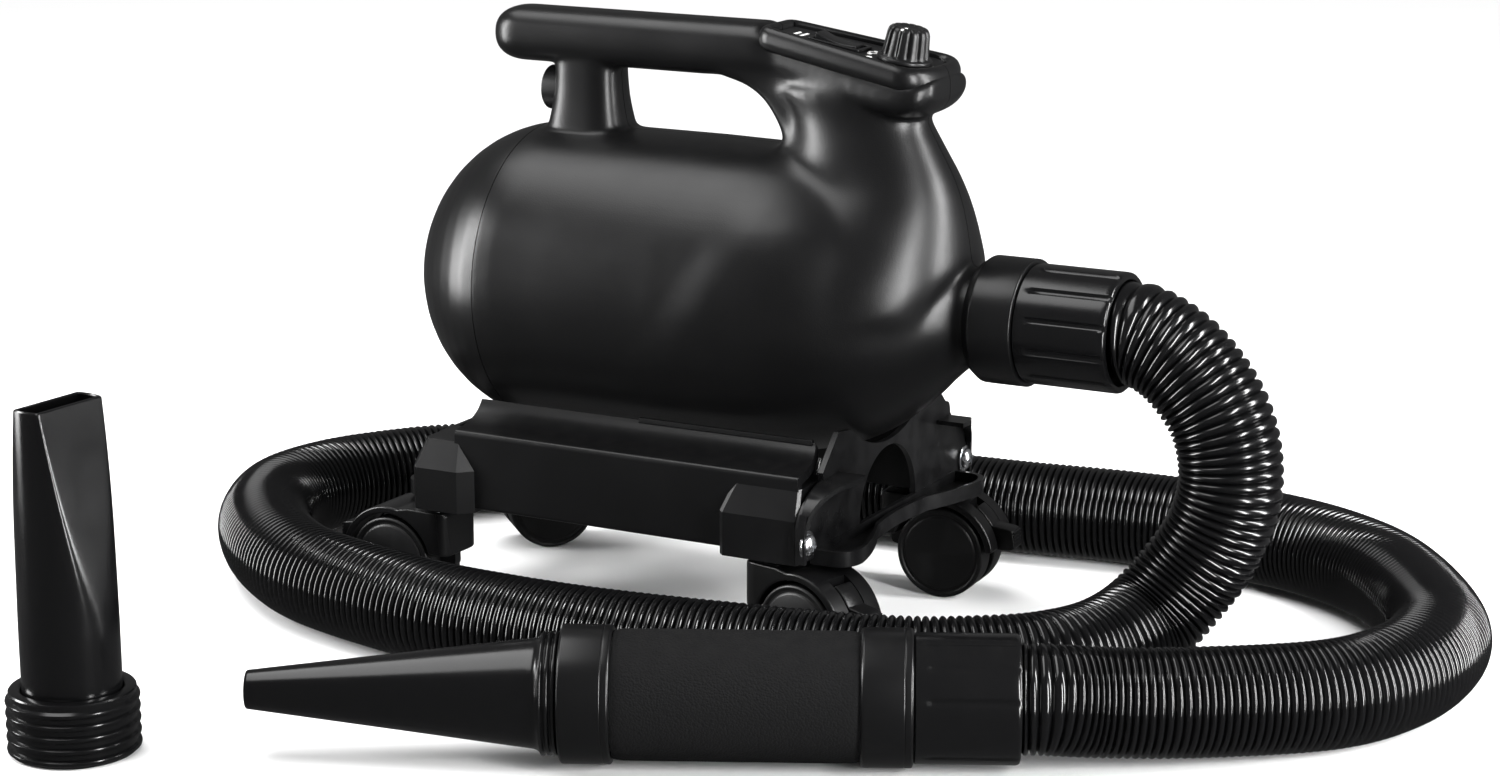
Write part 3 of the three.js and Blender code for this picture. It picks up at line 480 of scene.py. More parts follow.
# %% Ribs along the route
RIB_DEPTH, RINGS_PER_RIB, HOSE_SIDES = 2.7, 8, 40
wide_rib, close_rib = 4.9, 3.8          # stretched by the outlet, relaxed by the handset
station = np.linspace(0, HOSE_LENGTH, 4000)
rib_size = np.interp(station, [0, 0.25 * HOSE_LENGTH, HOSE_LENGTH], [wide_rib, close_rib + 0.3, close_rib])
rib_count = np.concatenate([[0], np.cumsum(np.diff(station) / rib_size[:-1])])
rib = np.arange(0, math.floor(rib_count[-1]) + 1e-9, 1 / RINGS_PER_RIB)
where = np.interp(rib, rib_count, station)
where = where * (HOSE_LENGTH / where[-1])
centre = np.stack([np.interp(where, run, hose_line[:, i]) for i in range(3)], -1)
forward = np.gradient(centre, axis=0)
forward /= np.linalg.norm(forward, axis=1)[:, None]
side = np.zeros_like(forward)
side[0] = Y
for i in range(1, len(side)):
    across = side[i - 1] - forward[i] * side[i - 1].dot(forward[i])
    side[i] = across / np.linalg.norm(across)
up = np.cross(forward, side)
radius = HOSE_R - RIB_DEPTH * (1 - np.abs(np.sin(math.pi * rib)) ** 0.6)
angle = np.linspace(0, 2 * math.pi, HOSE_SIDES, endpoint=False)
hose_rings = (centre[:, None] + radius[:, None, None] * (
    np.cos(angle)[None, :, None] * side[:, None] + np.sin(angle)[None, :, None] * up[:, None]))
hose = finish(skin("hose_ribbed", hose_rings), "hose_ribbed", "dryer", gloss_hose,
              ["hose"], sharp=80)

# %% [markdown]
# ## The casing
# The real casing is three mouldings: a left and a right half that meet in a line along the top
# and front, and a domed rear cover. Their forms flow into each other: barrel, handle, rear
# post, front pillar and control head. Subdivision modelling could draw that by hand. Here each
# form is a simple loft that runs into its neighbours, a voxel remesh fuses them into one skin,
# and smoothing melts the joins into moulded fillets, longest where the pillar meets the nose.
# The lip round the panel is too fine for that, so it is joined on afterwards. The inside is made
# from the same forms, 3 mm in.

# %% The five forms of the casing
WALL = 3.0
SEAM_X = -82.0                         # where the rear cover meets the two halves
PARTING = 0.25                         # half the visible gap at each parting line
HANDLE_TOP = 321.0
deck_rear, deck_front, deck_rear_z, deck_front_z = 61.0, 149.0, 317.0, 302.0
deck_slope = (deck_front_z - deck_rear_z) / (deck_front - deck_rear)
DECK_TILT = -math.atan(deck_slope)


def deck_height(x):
    """Height of the control panel's face at a station along the dryer."""
    return deck_rear_z + deck_slope * (x - deck_rear)


def deck_outline(grow):
    """The panel's outline seen from above, grown by a margin."""
    rear, front = deck_rear - grow, deck_front + grow
    narrow, wide = 12.5 + grow, 23.5 + grow
    near = [(rear, -narrow), (front - 12, -wide), *bend((front - 12, -wide), (front, -wide), (front, 0))]
    return near + [(x, -y) for x, y in near[::-1][1:]]


def deck_slab(name, grow, below, above):
    """The panel's outline as a slab that slopes with the panel's face."""
    slab = prism(name, deck_outline(grow), "Z", -below, above)
    for vertex in slab.data.vertices:
        vertex.co.z += deck_height(vertex.co.x)
    return slab


def barrel(inset):
    radius, dome_x, rear_x = BARREL_R - inset, -72.0, -149.0 + inset
    quarter = np.radians(np.linspace(0, 90, 14))
    dome = [(dome_x - (dome_x - rear_x) * math.cos(a), radius * math.sin(a)) for a in quarter]
    nose = through([(25, 82.5), (75, 81), (106, 75), (130, 63.5), (148, 49), (160, 37), (168, 29.5),
                    (173, 26)], 5)
    nose = [(x - 0.6 * inset, r - inset) for x, r in nose]
    mouth = 182.0 + (2 if inset else 0)
    return lathe("barrel", [*dome, *nose, (mouth, 26 - inset), (mouth, 0)], looped=False, z=AXIS_Z)


def handle_bar(inset):
    half_width, half_height, z = 18 - inset, 15 - inset, HANDLE_TOP - 15
    reach = 18 - inset
    nose = [(-112 + inset + reach * (1 - math.cos(a)), max(math.sin(a), 0.02) ** 0.8)
            for a in np.radians(np.linspace(4, 90, 12))]
    rings = [oval((x, 0, z), Y, Z, half_width * s, half_height * s, 2.5) for x, s in nose]
    rings += [oval((52, 0, z), Y, Z, half_width, half_height, 2.5),
              oval((72, 0, z - 5), Y, Z, half_width * 0.9, half_height * 0.75, 2.5)]
    return skin("handle_bar", rings)


def rear_post(inset):
    rows = through([(236, 37, 32), (246, 29, 24), (256, 23.5, 19.5), (268, 20.5, 17), (280, 19, 15.6),
                    (300, 18, 15)])
    return skin("rear_post", [oval((-55, 0, z), X, Y, a - inset, b - inset, 3.2) for z, a, b in rows])


def pillar(inset):
    rows = through([(178, 26, 168, 72), (196, 40, 171, 66), (212, 50, 169.5, 57), (230, 58, 166, 46),
                    (246, 65.5, 160.5, 36), (262, 71, 152, 29), (276, 68.5, 144.5, 25.5), (290, 56, 148, 26)])
    return skin("pillar", [oval(((back + front) / 2, 0, z), X, Y, (front - back) / 2 - inset,
                                half - inset, 2.15) for z, back, front, half in rows])


def control_head(inset):
    rows = through([(44, 305, 10, 15), (62, 304.5, 13.5, 17), (85, 299, 14.5, 21), (110, 293.5, 14, 26),
                    (136, 290, 13, 30), (150, 290.5, 10.5, 29), (157, 293.5, 6.5, 21)])
    return skin("control_head", [oval((x - (inset if x > 155 else 0), 0, z), Y, Z, half - inset,
                                      height - inset, 2.6) for x, z, height, half in rows])


def deck_lip():
    """The raised, rounded lip round the control panel."""
    half_width, half_height, stand, sunk = 4.4, 6.4, 3.0, 3.4
    path = [Vector((x, y, deck_height(x) - sunk)) for x, y in eased(deck_outline(stand), 5, 5)]
    rings = []
    for i, here in enumerate(path):
        along = (path[(i + 1) % len(path)] - path[i - 1]).normalized()
        out = along.cross(Vector(Z)).normalized()
        rings.append(oval(here, out, Z, half_width, half_height, 2.0, 28))
    return skin("deck_lip", rings, looped=True)


def opening_gusset():
    """The web that rounds the front end of the hand opening."""
    side = [(30, 303), (30, 292), *bend((34, 290.5), (62, 287), (68, 254), 12), (84, 254), (84, 303)]
    return prism("opening_gusset", side, "Y", -15, 15)


def fused(name, forms, voxel, passes):
    """The forms as one skin, with their joins melted into fillets."""
    body = joined(name, forms)
    remesh = body.modifiers.new("remesh", "REMESH")
    remesh.mode, remesh.voxel_size = "VOXEL", voxel
    smooth = body.modifiers.new("smooth", "SMOOTH")
    smooth.factor, smooth.iterations = 0.5, passes
    return bake(body)


def melted(obj, x_low, x_high, z_low, z_high, passes):
    """Smooths one region of a skin further, easing in from its border."""
    border = 12
    group = obj.vertex_groups.new(name="melt")
    for vertex in obj.data.vertices:
        px, _, pz = vertex.co
        inside = min(px - x_low, x_high - px, pz - z_low, z_high - pz) / border
        if inside > 0:
            group.add([vertex.index], min(1.0, inside), "REPLACE")
    smooth = obj.modifiers.new("melt", "SMOOTH")
    smooth.factor, smooth.iterations, smooth.vertex_group = 0.5, passes, "melt"
    bake(obj)
    obj.vertex_groups.clear()
    return obj


forms = (barrel, handle_bar, rear_post, pillar, control_head)
case = fused("case", [form(0) for form in forms] + [opening_gusset()], 1.2, 20)
melted(case, 60, 163, 135, 272, 170)         # the pillar into the nose
melted(case, -110, 20, 225, 262, 45)         # the foot of the rear post
melted(case, 16, 112, 244, 301, 110)         # the front end of the hand opening
combine(case, [deck_lip()], "UNION")
hollow = fused("hollow", [form(WALL) for form in forms], 2.5, 4)
print("casing skin", len(case.data.polygons), "faces, inside", len(hollow.data.polygons))

# %% [markdown]
# A soft shoulder runs from the back of the pillar down and back across the barrel and fades out
# on its side, as if the front of the casing were draped over the barrel. It is only 2 mm high,
# so it is raised on the fused skin, by moving each point out from the barrel's axis.

# %% The shoulder line
def eased_step(value):
    value = np.clip(value, 0, 1)
    return value * value * (3 - 2 * value)


points = np.array([v.co for v in case.data.vertices])
x, y, z = points.T
line_x = np.interp(z, [105, 130, 150, 170, 190, 212, 235], [-50, -16, 10, 28, 42, 53, 62])
shoulder = eased_step((x - line_x + 8) / 30) * eased_step((z - 112) / 90)
shoulder *= eased_step((246 - z) / 26) * eased_step((150 - x) / 60)
away = np.stack([np.zeros(len(x)), y, z - AXIS_Z], -1)
distance = np.linalg.norm(away, axis=1)
raise_by = 1.9 * shoulder * (distance < BARREL_R + 14)
points += away / np.maximum(distance, 1)[:, None] * raise_by[:, None]
case.data.vertices.foreach_set("co", points.ravel())
case.data.update()
print("shoulder raised on", int((raise_by > 0.1).sum()), "points")

# %% [markdown]
# The casing is a shell with holes for the neck, the inlet and the panel. Once it is hollow, each
# moulding is the part of it that lies in its own boxes, so the edges meet in even gaps.

# %% Hollow it, leave the openings and part it
neck_bore = lathe("neck_bore", [(168, 0), (168, 22), (192, 22), (192, 0)], looped=False, z=AXIS_Z)
inlet_bore = lathe("inlet_bore", [(-95, 0), (-95, 12.3), (-59, 12.3), (-59, 0)], looped=False, z=277)
combine(case, [hollow, neck_bore, inlet_bore], "DIFFERENCE")
combine(case, [deck_slab("pocket", 0.3, 2.7, 20), deck_slab("opening", -5, 14, 1)], "DIFFERENCE")


def kept_part(name, regions):
    """A copy of the casing, kept only inside the given regions."""
    part = bpy.data.objects.new(name, case.data.copy())
    scene.collection.objects.link(part)
    return combine(part, [combine(regions[0], regions[1:], "UNION")], "INTERSECT")


for name, node, near, far in (("shell_left", "casing_left", PARTING, 120),
                              ("shell_right", "casing_right", -120, -PARTING)):
    half = kept_part(name, [box("front", (SEAM_X, near, 60), (200, far, 340)),
                            box("back", (-140, near, 264), (SEAM_X + 1, far, 340))])
    finish(half, name, "dryer", satin_case, [node])

# %% [markdown]
# Air comes in through the rear cover. It has five slots with round ends across its middle, and
# the foam of the filter shows behind them.

# %% The rear cover
rear = kept_part("rear_dome", [box("dome_space", (-160, -120, 60), (SEAM_X - 2 * PARTING, 120, 263.5)),
                               box("dome_tail", (-158, -1, 170), (-157, 1, 172))])
slots = []
for row in range(-2, 3):
    half = 34 - abs(row) * 5
    level = AXIS_Z + row * 13
    ends = arc((half - 3, level), 3, -90, 90, 10) + arc((3 - half, level), 3, 90, 270, 10)
    slots.append(prism("slot", ends, "X", -154, -119))
combine(rear, slots, "DIFFERENCE")
finish(rear, "rear_dome", "dryer", satin_case, ["rear_cover"])
bpy.data.objects.remove(case)

# %% [markdown]
# ## Controls
# The control panel is a flat plate that lies in the pocket of the head, sloping down towards
# the front. It carries a rocker switch and a fluted speed knob. The marks round the knob are
# plain dots that grow with the speed, and the switch has a bar and a ring.

# %% A frame on the sloping deck
def on_deck(x, lift=0.0):
    """Puts a piece drawn flat at the origin onto the panel's face at a station."""
    return Matrix.Translation((x, 0, deck_height(x) + lift)) @ Matrix.Rotation(DECK_TILT, 4, "Y")


KNOB_X, ROCKER_X = 131.0, 94.0
plate = deck_slab("panel_plate", 0, 2.4, 0)
knob_hole = turn(prism("knob_hole", arc((0, 0), 4, 0, 350, 35), "Z", -9, 9), on_deck(KNOB_X))
rocker_hole = turn(box("rocker_hole", (-13.5, -7, -9), (13.5, 7, 9)), on_deck(ROCKER_X))
combine(plate, [knob_hole, rocker_hole], "DIFFERENCE")
finish(bevel(plate, 0.35, 2), "panel_plate", "dryer", dark_panel, ["control_panel"])

bezel_outer = eased([(-15.5, -8.6), (15.5, -8.6), (15.5, 8.6), (-15.5, 8.6)], 3, 6)
bezel_inner = eased([(-13.1, -6.5), (13.1, -6.5), (13.1, 6.5), (-13.1, 6.5)], 1, 3)
bezel = combine(prism("bezel", bezel_outer, "Z", 0.05, 1.3), [prism("well", bezel_inner, "Z", -2, 4)],
                "DIFFERENCE")
finish(turn(bevel(bezel, 0.5, 3), on_deck(ROCKER_X)), "rocker_bezel", "dryer",
       knob_satin)

# %% The speed knob
KNOB_HEIGHT, FLUTES = 17.5, 12
turnaround = np.linspace(0, 2 * math.pi, 240, endpoint=False)
valley = (1 - np.abs(np.sin(turnaround * FLUTES / 2))) ** 2.2
rows = [(0, 14.4, 0), (1.2, 14.4, 0), (2.0, 13.8, 0), (2.1, 12.6, 0.0), (2.6, 12.4, 0.6), (4, 12.3, 1)]
rows += [(z, 12.4 - 1.5 * (z - 2) / 13, 1) for z in np.linspace(5, 14.4, 8)]
rows += [(14.4 + 3.1 * math.sin(a), 10.8 - 3.1 * (1 - math.cos(a)), 1)
         for a in np.radians(np.linspace(12, 84, 7))]
rows += [(KNOB_HEIGHT, 7.2, 0.6), (KNOB_HEIGHT - 0.5, 6.4, 0.1), (KNOB_HEIGHT - 0.9, 5.6, 0),
         (KNOB_HEIGHT - 0.9, 0.01, 0)]
knob_rings = [np.stack([(r - 1.5 * cut * valley) * np.cos(turnaround),
                        (r - 1.5 * cut * valley) * np.sin(turnaround), np.full(240, z)], -1)
              for z, r, cut in rows]
knob = turn(skin("fluted_knob", knob_rings), on_deck(KNOB_X, 0.6))
finish(knob, "fluted_knob", "knob", knob_satin, ["speed_knob"], sharp=60)
pointer = bevel(box("knob_pointer", (-0.7, -9.4, KNOB_HEIGHT - 1.2), (0.7, -3.4, KNOB_HEIGHT - 0.3)), 0.2, 2)
finish(turn(pointer, on_deck(KNOB_X, 0.6)), "knob_pointer", "knob", mark_white)

# %% The power rocker and the printed marks
rocker_side = [(-12, -2.6), (12, -2.6), (12, 0.9), *bend((12, 0.9), (0, -1.2), (-12, 3.0), 12)[:-1],
               (-12, 3.0)]
rocker = prism("rocker_key", rocker_side, "Y", -5.5, 5.5)
finish(turn(bevel(rocker, 0.7, 3), on_deck(ROCKER_X, 1.4)), "rocker_key", "rocker",
       knob_satin, ["power_rocker"])

marks = []
for step, degrees in enumerate(range(120, 241, 24)):
    size = 0.7 + 0.22 * step
    spot = (18.6 * math.cos(math.radians(degrees)), 18.6 * math.sin(math.radians(degrees)))
    marks.append(turn(prism("dot", arc(spot, size, 0, 340, 17), "Z", 0.02, 0.16), on_deck(KNOB_X)))
for low, high in (((-21.5, -4.4, 0.02), (-20.0, 4.4, 0.16)), ((-25.5, -3.4, 0.02), (-24.0, 3.4, 0.16))):
    marks.append(turn(box("bar", low, high), on_deck(ROCKER_X)))
ring = combine(prism("ring", arc((19.6, 0), 2.6, 0, 352, 44), "Z", 0.02, 0.16),
               [prism("ring_hole", arc((19.6, 0), 1.7, 0, 352, 44), "Z", -1, 1)], "DIFFERENCE")
marks.append(turn(ring, on_deck(ROCKER_X)))
marks.append(turn(box("front_dash", (14.9, -3.5, 0.02), (16.1, 3.5, 0.16)), on_deck(KNOB_X)))
finish(joined("panel_marks", marks), "panel_marks", "dryer", mark_white)

# %% [markdown]
# The mains lead plugs into a round socket in the rear post. Its lead is not with the set, so
# only the socket is made: a rim, a deep well and three pins.

# %% The power inlet
INLET_Z = 277.0
socket_profile = [(-70, 0.01), (-70, 10.6), *bend((-79.2, 10.8), (-80.2, 10.8), (-80.2, 11.4), 4),
                  *bend((-80.2, 11.4), (-80.2, 12.0), (-79.4, 12.0), 4), (-60, 12.0), (-60, 0.01)]
socket = lathe("inlet_socket", socket_profile, looped=False, sides=72, z=INLET_Z)
finish(socket, "inlet_socket", "dryer", knob_satin, ["power_inlet"])
pins = [bevel(box("pin", (-75, y - 1, INLET_Z + z - 2), (-69, y + 1, INLET_Z + z + 2)), 0.4, 2)
        for y, z in ((0, 5), (-5, -3), (5, -3))]
finish(joined("inlet_pins", pins), "inlet_pins", "dryer", plain_steel)

# %% [markdown]
# ## Outlet and hose cuffs
# A smooth collar is pressed onto the casing's neck, and the hose's cuff screws into it. The
# cuff has wide raised flats with narrow grooves between them, to grip it by. Each is turned
# like a lathe part. On the cuff, the radius also dips a little at every groove.

# %% Collar and cuffs
CUFF_R, CUFF_LENGTH, CUFF_GROOVES = 31.0, 50.0, 12
collar_end = COLLAR_START + 28
collar_profile = eased([(COLLAR_START, 26.6), (COLLAR_START, 29.4), (183, 33), (collar_end, 33),
                        (collar_end, 22), (182.4, 22), (182.4, 26.6)], 0.9, 4)
collar = lathe("smooth_collar", collar_profile, z=AXIS_Z)
finish(collar, "smooth_collar", "dryer", satin_tool, ["outlet_collar"])


def fluted_cuff(name, groove_depth):
    """A cuff along X from 0, with its hose end at CUFF_LENGTH and a recess there for the hose."""
    around = np.linspace(0, 2 * math.pi, 288, endpoint=False)
    lane = np.abs(((around * CUFF_GROOVES / (2 * math.pi)) % 1) - 0.5) * 2
    groove = eased_step((0.24 - lane) / 0.12)
    rows = [(0, 22, 0), (0, 30.2, 0), (0.8, CUFF_R, 0), (5, CUFF_R, 0)]
    rows += [(5 + 3 * t, CUFF_R, t) for t in (0.3, 0.6, 0.8, 0.95, 1)]
    rows += [(x, CUFF_R, 1) for x in np.linspace(12, CUFF_LENGTH - 4, 6)]
    rows += [(CUFF_LENGTH - 2.2, CUFF_R, 0.8), (CUFF_LENGTH - 1, CUFF_R - 0.3, 0.3),
             (CUFF_LENGTH - 0.3, CUFF_R - 0.9, 0), (CUFF_LENGTH, CUFF_R - 1.8, 0),
             (CUFF_LENGTH, 27.6, 0), (CUFF_LENGTH - 0.6, 27.1, 0), (CUFF_LENGTH - 8, 27.0, 0),
             (CUFF_LENGTH - 8, 22, 0)]
    rings = [np.stack([np.full(288, x), (r - groove_depth * cut * groove) * np.cos(around),
                       (r - groove_depth * cut * groove) * np.sin(around)], -1) for x, r, cut in rows]
    return skin(name, rings, looped=True)


cuff = turn(fluted_cuff("hose_cuff", 1.3), Matrix.Translation((collar_end + 0.3, 0, AXIS_Z)))
finish(cuff, "hose_cuff", "dryer", gloss_tool, ["outlet_cuff"])

# %% [markdown]
# ## Handset
# The handset lies on the floor on its two collars. From the hose on it is a cuff, a collar, a
# matt foam grip over a tube, a second collar, and the cone nozzle that screws into it. All of it
# is drawn along X and laid down by one matrix.

# %% Handset pieces
LAID = Matrix.Translation((*HANDSET_END, HANDSET_Z)) @ Matrix.Rotation(math.pi + HANDSET_ANGLE, 4, "Z")
rear_collar_x = CUFF_LENGTH + 0.3
grip_x = rear_collar_x + 24.5 + 0.3
front_collar_x = grip_x + 116.5 + 0.3
cone_x = front_collar_x + 24.5

flip = Matrix.Translation((CUFF_LENGTH, 0, 0)) @ Matrix.Rotation(math.pi, 4, "Z")
finish(turn(fluted_cuff("grip_cuff", 0.7), LAID @ flip), "grip_cuff", "dryer", gloss_tool,
       ["handset_cuff"])


def collar_band(name, x, inner):
    profile = [(x, inner), (x, 32.2), (x + 0.9, 33), (x + 3.6, 33), (x + 4.0, 32.75), (x + 4.4, 33),
               (x + 23.4, 33), (x + 24.5, 32.0), (x + 24.5, inner)]
    return turn(lathe(name, eased(profile, 0.5, 3)), LAID)


finish(collar_band("hose_side_band", rear_collar_x, 27.4), "hose_side_band", "dryer",
       satin_tool, ["rear_collar"])
finish(collar_band("nozzle_side_band", front_collar_x, 30.2), "nozzle_side_band", "dryer",
       satin_tool, ["front_collar"])

sleeve_profile = [(grip_x + x, 31.2 - 0.9 * math.exp(-x / 2.2) - 0.9 * math.exp((x - 116.5) / 2.2))
                  for x in np.linspace(0, 116.5, 60)]
sleeve_profile += [(grip_x + 116.5, 27.6), (grip_x, 27.6)]
sleeve = turn(lathe("foam_sleeve", sleeve_profile), LAID)
finish(sleeve, "foam_sleeve", "dryer", foam_grip, ["grip_sleeve"])

# %% The cone nozzle
thread = []
for i in range(3):
    start_x = cone_x + 0.5 + 3.2 * i
    thread += [(start_x, 28.0), (start_x + 0.5, 29.2), (start_x + 0.9, 29.5), (start_x + 1.7, 29.5),
               (start_x + 2.1, 29.2), (start_x + 2.6, 28.0)]
taper = [(cone_x + 11, 26.9), (cone_x + 12.5, 26.35), *[(cone_x + x, 26.5 - 17.2 * (x - 11) / 139) for x in
         np.linspace(16, 148.6, 14)], (cone_x + 149.6, 9.3), (cone_x + 150, 8.9), (cone_x + 150, 7.7),
         (cone_x + 149.6, 7.3), (cone_x + 11, 23.5), (cone_x - 11, 23)]
cone = turn(lathe("long_cone", [(cone_x - 11, 27.9), *thread, *taper], sides=128), LAID)
finish(cone, "long_cone", "nozzle", gloss_tool, ["cone_nozzle"])

# %% [markdown]
# ## Flat nozzle
# The flat nozzle starts as a round tube. Two slanting planes cut into it, which leaves a
# U-shaped edge on each side, and the wall follows them to a wide, narrow mouth. So each ring is
# a circle whose short side is limited to a width, and that width shrinks with height.

# %% The flat nozzle
NOZZLE_AT, NOZZLE_TURN, NOZZLE_TOP = (-138.0, -352.0), math.radians(85), 171.0
TUBE_R, MOUTH_HALF, CUT_START = 23.9, 8.0, 62.0


def nozzle_ring(z, inset):
    """A round ring of the nozzle, squeezed between its two flats."""
    slope = np.clip((z - CUT_START) / (NOZZLE_TOP - CUT_START), 0, 1)
    limit = (TUBE_R + 1.5) * (1 - slope) + MOUTH_HALF * slope - inset
    radius = TUBE_R - 1.4 * slope - inset
    around = np.linspace(0, 2 * math.pi, 160, endpoint=False)
    u, v = radius * np.cos(around), radius * np.sin(around)
    keep = 24.0
    v = np.sign(v) * limit * np.abs(v) / (np.abs(v) ** keep + limit ** keep) ** (1 / keep)
    return np.stack([u, v, np.full(160, z)], -1)


levels = np.linspace(30, NOZZLE_TOP - 0.6, 60)
outer = [nozzle_ring(z, 0) for z in levels] + [nozzle_ring(NOZZLE_TOP, 0.5)]
inner = [nozzle_ring(NOZZLE_TOP, 1.3)] + [nozzle_ring(z, 1.8) for z in levels[::-1]]
ridged = [(0, 26.8), (0, 29.6), (0.6, 30.3)]
for i in range(5):
    ridge_z = 0.9 + 5.9 * i
    ridged += [(ridge_z, 30.3), (ridge_z + 1.1, 31.8), (ridge_z + 1.9, 32.0), (ridge_z + 2.7, 31.8),
               (ridge_z + 3.8, 30.3)]
ridged += [(30.9, 30.4), (31.6, 29.9), (32, 29.0), (32, 25.6), (31.4, 24.6), (30, TUBE_R)]
circle = np.linspace(0, 2 * math.pi, 160, endpoint=False)
base = [np.stack([r * np.cos(circle), r * np.sin(circle), np.full(160, z)], -1) for z, r in ridged]
well = [np.stack([r * np.cos(circle), r * np.sin(circle), np.full(160, z)], -1)
        for z, r in ((29, TUBE_R - 1.8), (28.6, 25.8), (28, 26.8))]
stand = Matrix.Translation((*NOZZLE_AT, 0)) @ Matrix.Rotation(NOZZLE_TURN, 4, "Z")
flat = turn(skin("flat_mouth_nozzle", base + outer[1:] + inner + well, looped=True), stand)
finish(flat, "flat_mouth_nozzle", "dryer", gloss_tool, ["flat_nozzle"], sharp=30)

# %% [markdown]
# ## The dock
# The dock is four black mouldings screwed together: two side rails that hug the barrel with a
# hollow flange, and an end bridge at each end. The outlines are drawn once and extruded, the
# blocks over the casters are lofted, and booleans join them. A bevel then gives every edge the
# thin highlight that shows its shape.

# %% Side rails
def mirrored(obj, axis):
    """The same piece on the other side, with its faces turned outwards again."""
    obj.data.transform(Matrix.Scale(-1, 4, axis))
    obj.data.flip_normals()
    return obj


def corner_block(x_low, x_high, low_ease, high_ease):
    """The block over a caster: straight below, and drawn in towards its top. At each end, an
    ease is the cut of the outer corner and how far the top is drawn in."""
    rings = []
    for z, outer, shrink in ((60, 99, 0), (83, 99, 0), (98, 91.5, 1)):
        x0, x1 = x_low + low_ease[1] * shrink, x_high - high_ease[1] * shrink
        cut0, cut1 = low_ease[0], high_ease[0]
        plan = [(x0, 62), (x0, outer - cut0), (x0 + cut0, outer),
                (x1 - cut1, outer), (x1, outer - cut1), (x1, 62)]
        rings.append([(px, py, z) for px, py in plan])
    return skin("block", rings)


def side_rail():
    """The far rail."""
    section = [(88, 62), (92, 62), (92, 104), *bend((88.5, 104.6), (70, 105.5), (64, 116)),
               *bend((61.5, 115), (67, 102.5), (88, 100))]
    rail = prism("rail", eased(section, 2.6, 5), "X", -88, 118)
    profile = eased([(-88, 50), (118, 50), (118, 103), (110, 125), (-88, 125)], 7, 6)
    combine(rail, [prism("profile", profile, "Y", 40, 120)], "INTERSECT")
    front, back = corner_block(75, 121, (3, 5), (1.5, 2)), corner_block(-111, -76, (2, 4), (7, 3))
    bead = eased([(62.6, 114.2), (65.8, 114.0), (65.2, 117.0), (63.2, 117.0)], 0.8, 3)
    rib = prism("flange_bead", bead, "X", 10, 112)
    combine(rail, [front, back, rib], "UNION")
    sockets = [prism("socket", arc((x, 77), 5.2, 0, 350, 35), "Z", 50, 80) for x in (97, -103)]
    return bevel(combine(rail, sockets, "DIFFERENCE"), 1.2, 3, 22)


finish(side_rail(), "far_rail", "dryer", satin_dock, ["rail_far"],
       flat_faces=True)
finish(mirrored(side_rail(), Y), "near_rail", "dryer", satin_dock, ["rail_near"],
       flat_faces=True)

# %% [markdown]
# The front bridge rises beside the barrel in two arms. Under the barrel it opens in an arch, a
# hood over each screw sticks out forwards, and a tray with a rim runs along its foot. The rear
# bridge is the same without arms and hoods, as low as the blocks.

# %% Bridge shapes
BRIDGE_X = 121.3
ARM_INNER, ARM_TOP, CRADLE_R = 44.5, 119.5, 71.5


def bridge_panel(front):
    """The cross panel, drawn in y and z: the outline of its near half, then the mirrored half."""
    half, top = (102, 99) if front else (92, 95)
    side = [(-half, 62), (-half, 80), *bend((-half, 80), (4 - half, top - 5), (26 - half, top), 12)]
    if front:
        side += [(-77, 104), (-59, ARM_TOP + 2), (-ARM_INNER, ARM_TOP)]
        swing = math.degrees(math.asin(ARM_INNER / CRADLE_R))
        cradle = arc((0, AXIS_Z), CRADLE_R, 270 - swing, 270 + swing, 30)[1:-1]
    else:
        side, cradle = side + [(-62, top)], []
    outline = side + cradle + [(-y, z) for y, z in side[::-1]]
    panel = prism("panel", outline, "X", BRIDGE_X, BRIDGE_X + 3)
    arch_r, arch_z = (34, 67) if front else (24, 64)
    arch = prism("arch", arc((0, arch_z), arch_r, 0, 355, 71), "X", 100, 140)
    return combine(panel, [arch], "DIFFERENCE")


def tray_plan(half, shrink=0.0):
    """The tray seen from above: wide over the casters and narrow in the middle."""
    x, w = BRIDGE_X, half - shrink
    corner, wide, narrow, middle = x + 13, x + 24 - shrink, x + 12 - shrink, x + 9.6 - shrink
    side = [(x + 1 + shrink, w), (corner, w), *bend((corner, w), (wide, w - 2), (wide, w - 14)),
            *bend((wide, w - 14), (x + 22 - shrink, w - 32), (narrow, w - 56)),
            *bend((narrow, w - 56), (middle, 12), (middle, 0), 6)]
    return side + [(px, -py) for px, py in side[::-1][1:]]


def bridge_tray(half):
    tray = prism("tray", tray_plan(half), "Z", 58.5, 66.5)
    return combine(tray, [prism("tray_well", tray_plan(half, 2.6), "Z", 61, 90)], "DIFFERENCE")


def screw_hood(front_edge=19):
    """The far hood: the ear's rim drawn out forwards, furthest at its inner end."""
    rim = [(101, 80), *bend((101, 80), (100, 95), (78, 100), 14), (60, 101), (60, 98.6), (77.5, 97.6),
           *bend((77.5, 97.6), (97, 93), (98.6, 80), 14)]
    hood = prism("hood", rim, "X", BRIDGE_X + 2, BRIDGE_X + front_edge)
    slope = turn(box("slope", (0, -60, -40), (40, 60, 40)),
                 Matrix.Translation((BRIDGE_X + 6, 100, 90)) @ Matrix.Rotation(0.42, 4, "Z"))
    return combine(hood, [slope], "DIFFERENCE")


def ear_rim(half=102):
    """A raised rim along the edge of the far ear, below the hood."""
    outer = [(half, 62), (half, 84), (half - 1.2, 88), (half - 3.4, 86.5), (half - 2.4, 83),
             (half - 2.4, 62)]
    return prism("ear_rim", outer, "X", BRIDGE_X + 2, BRIDGE_X + 5.5)


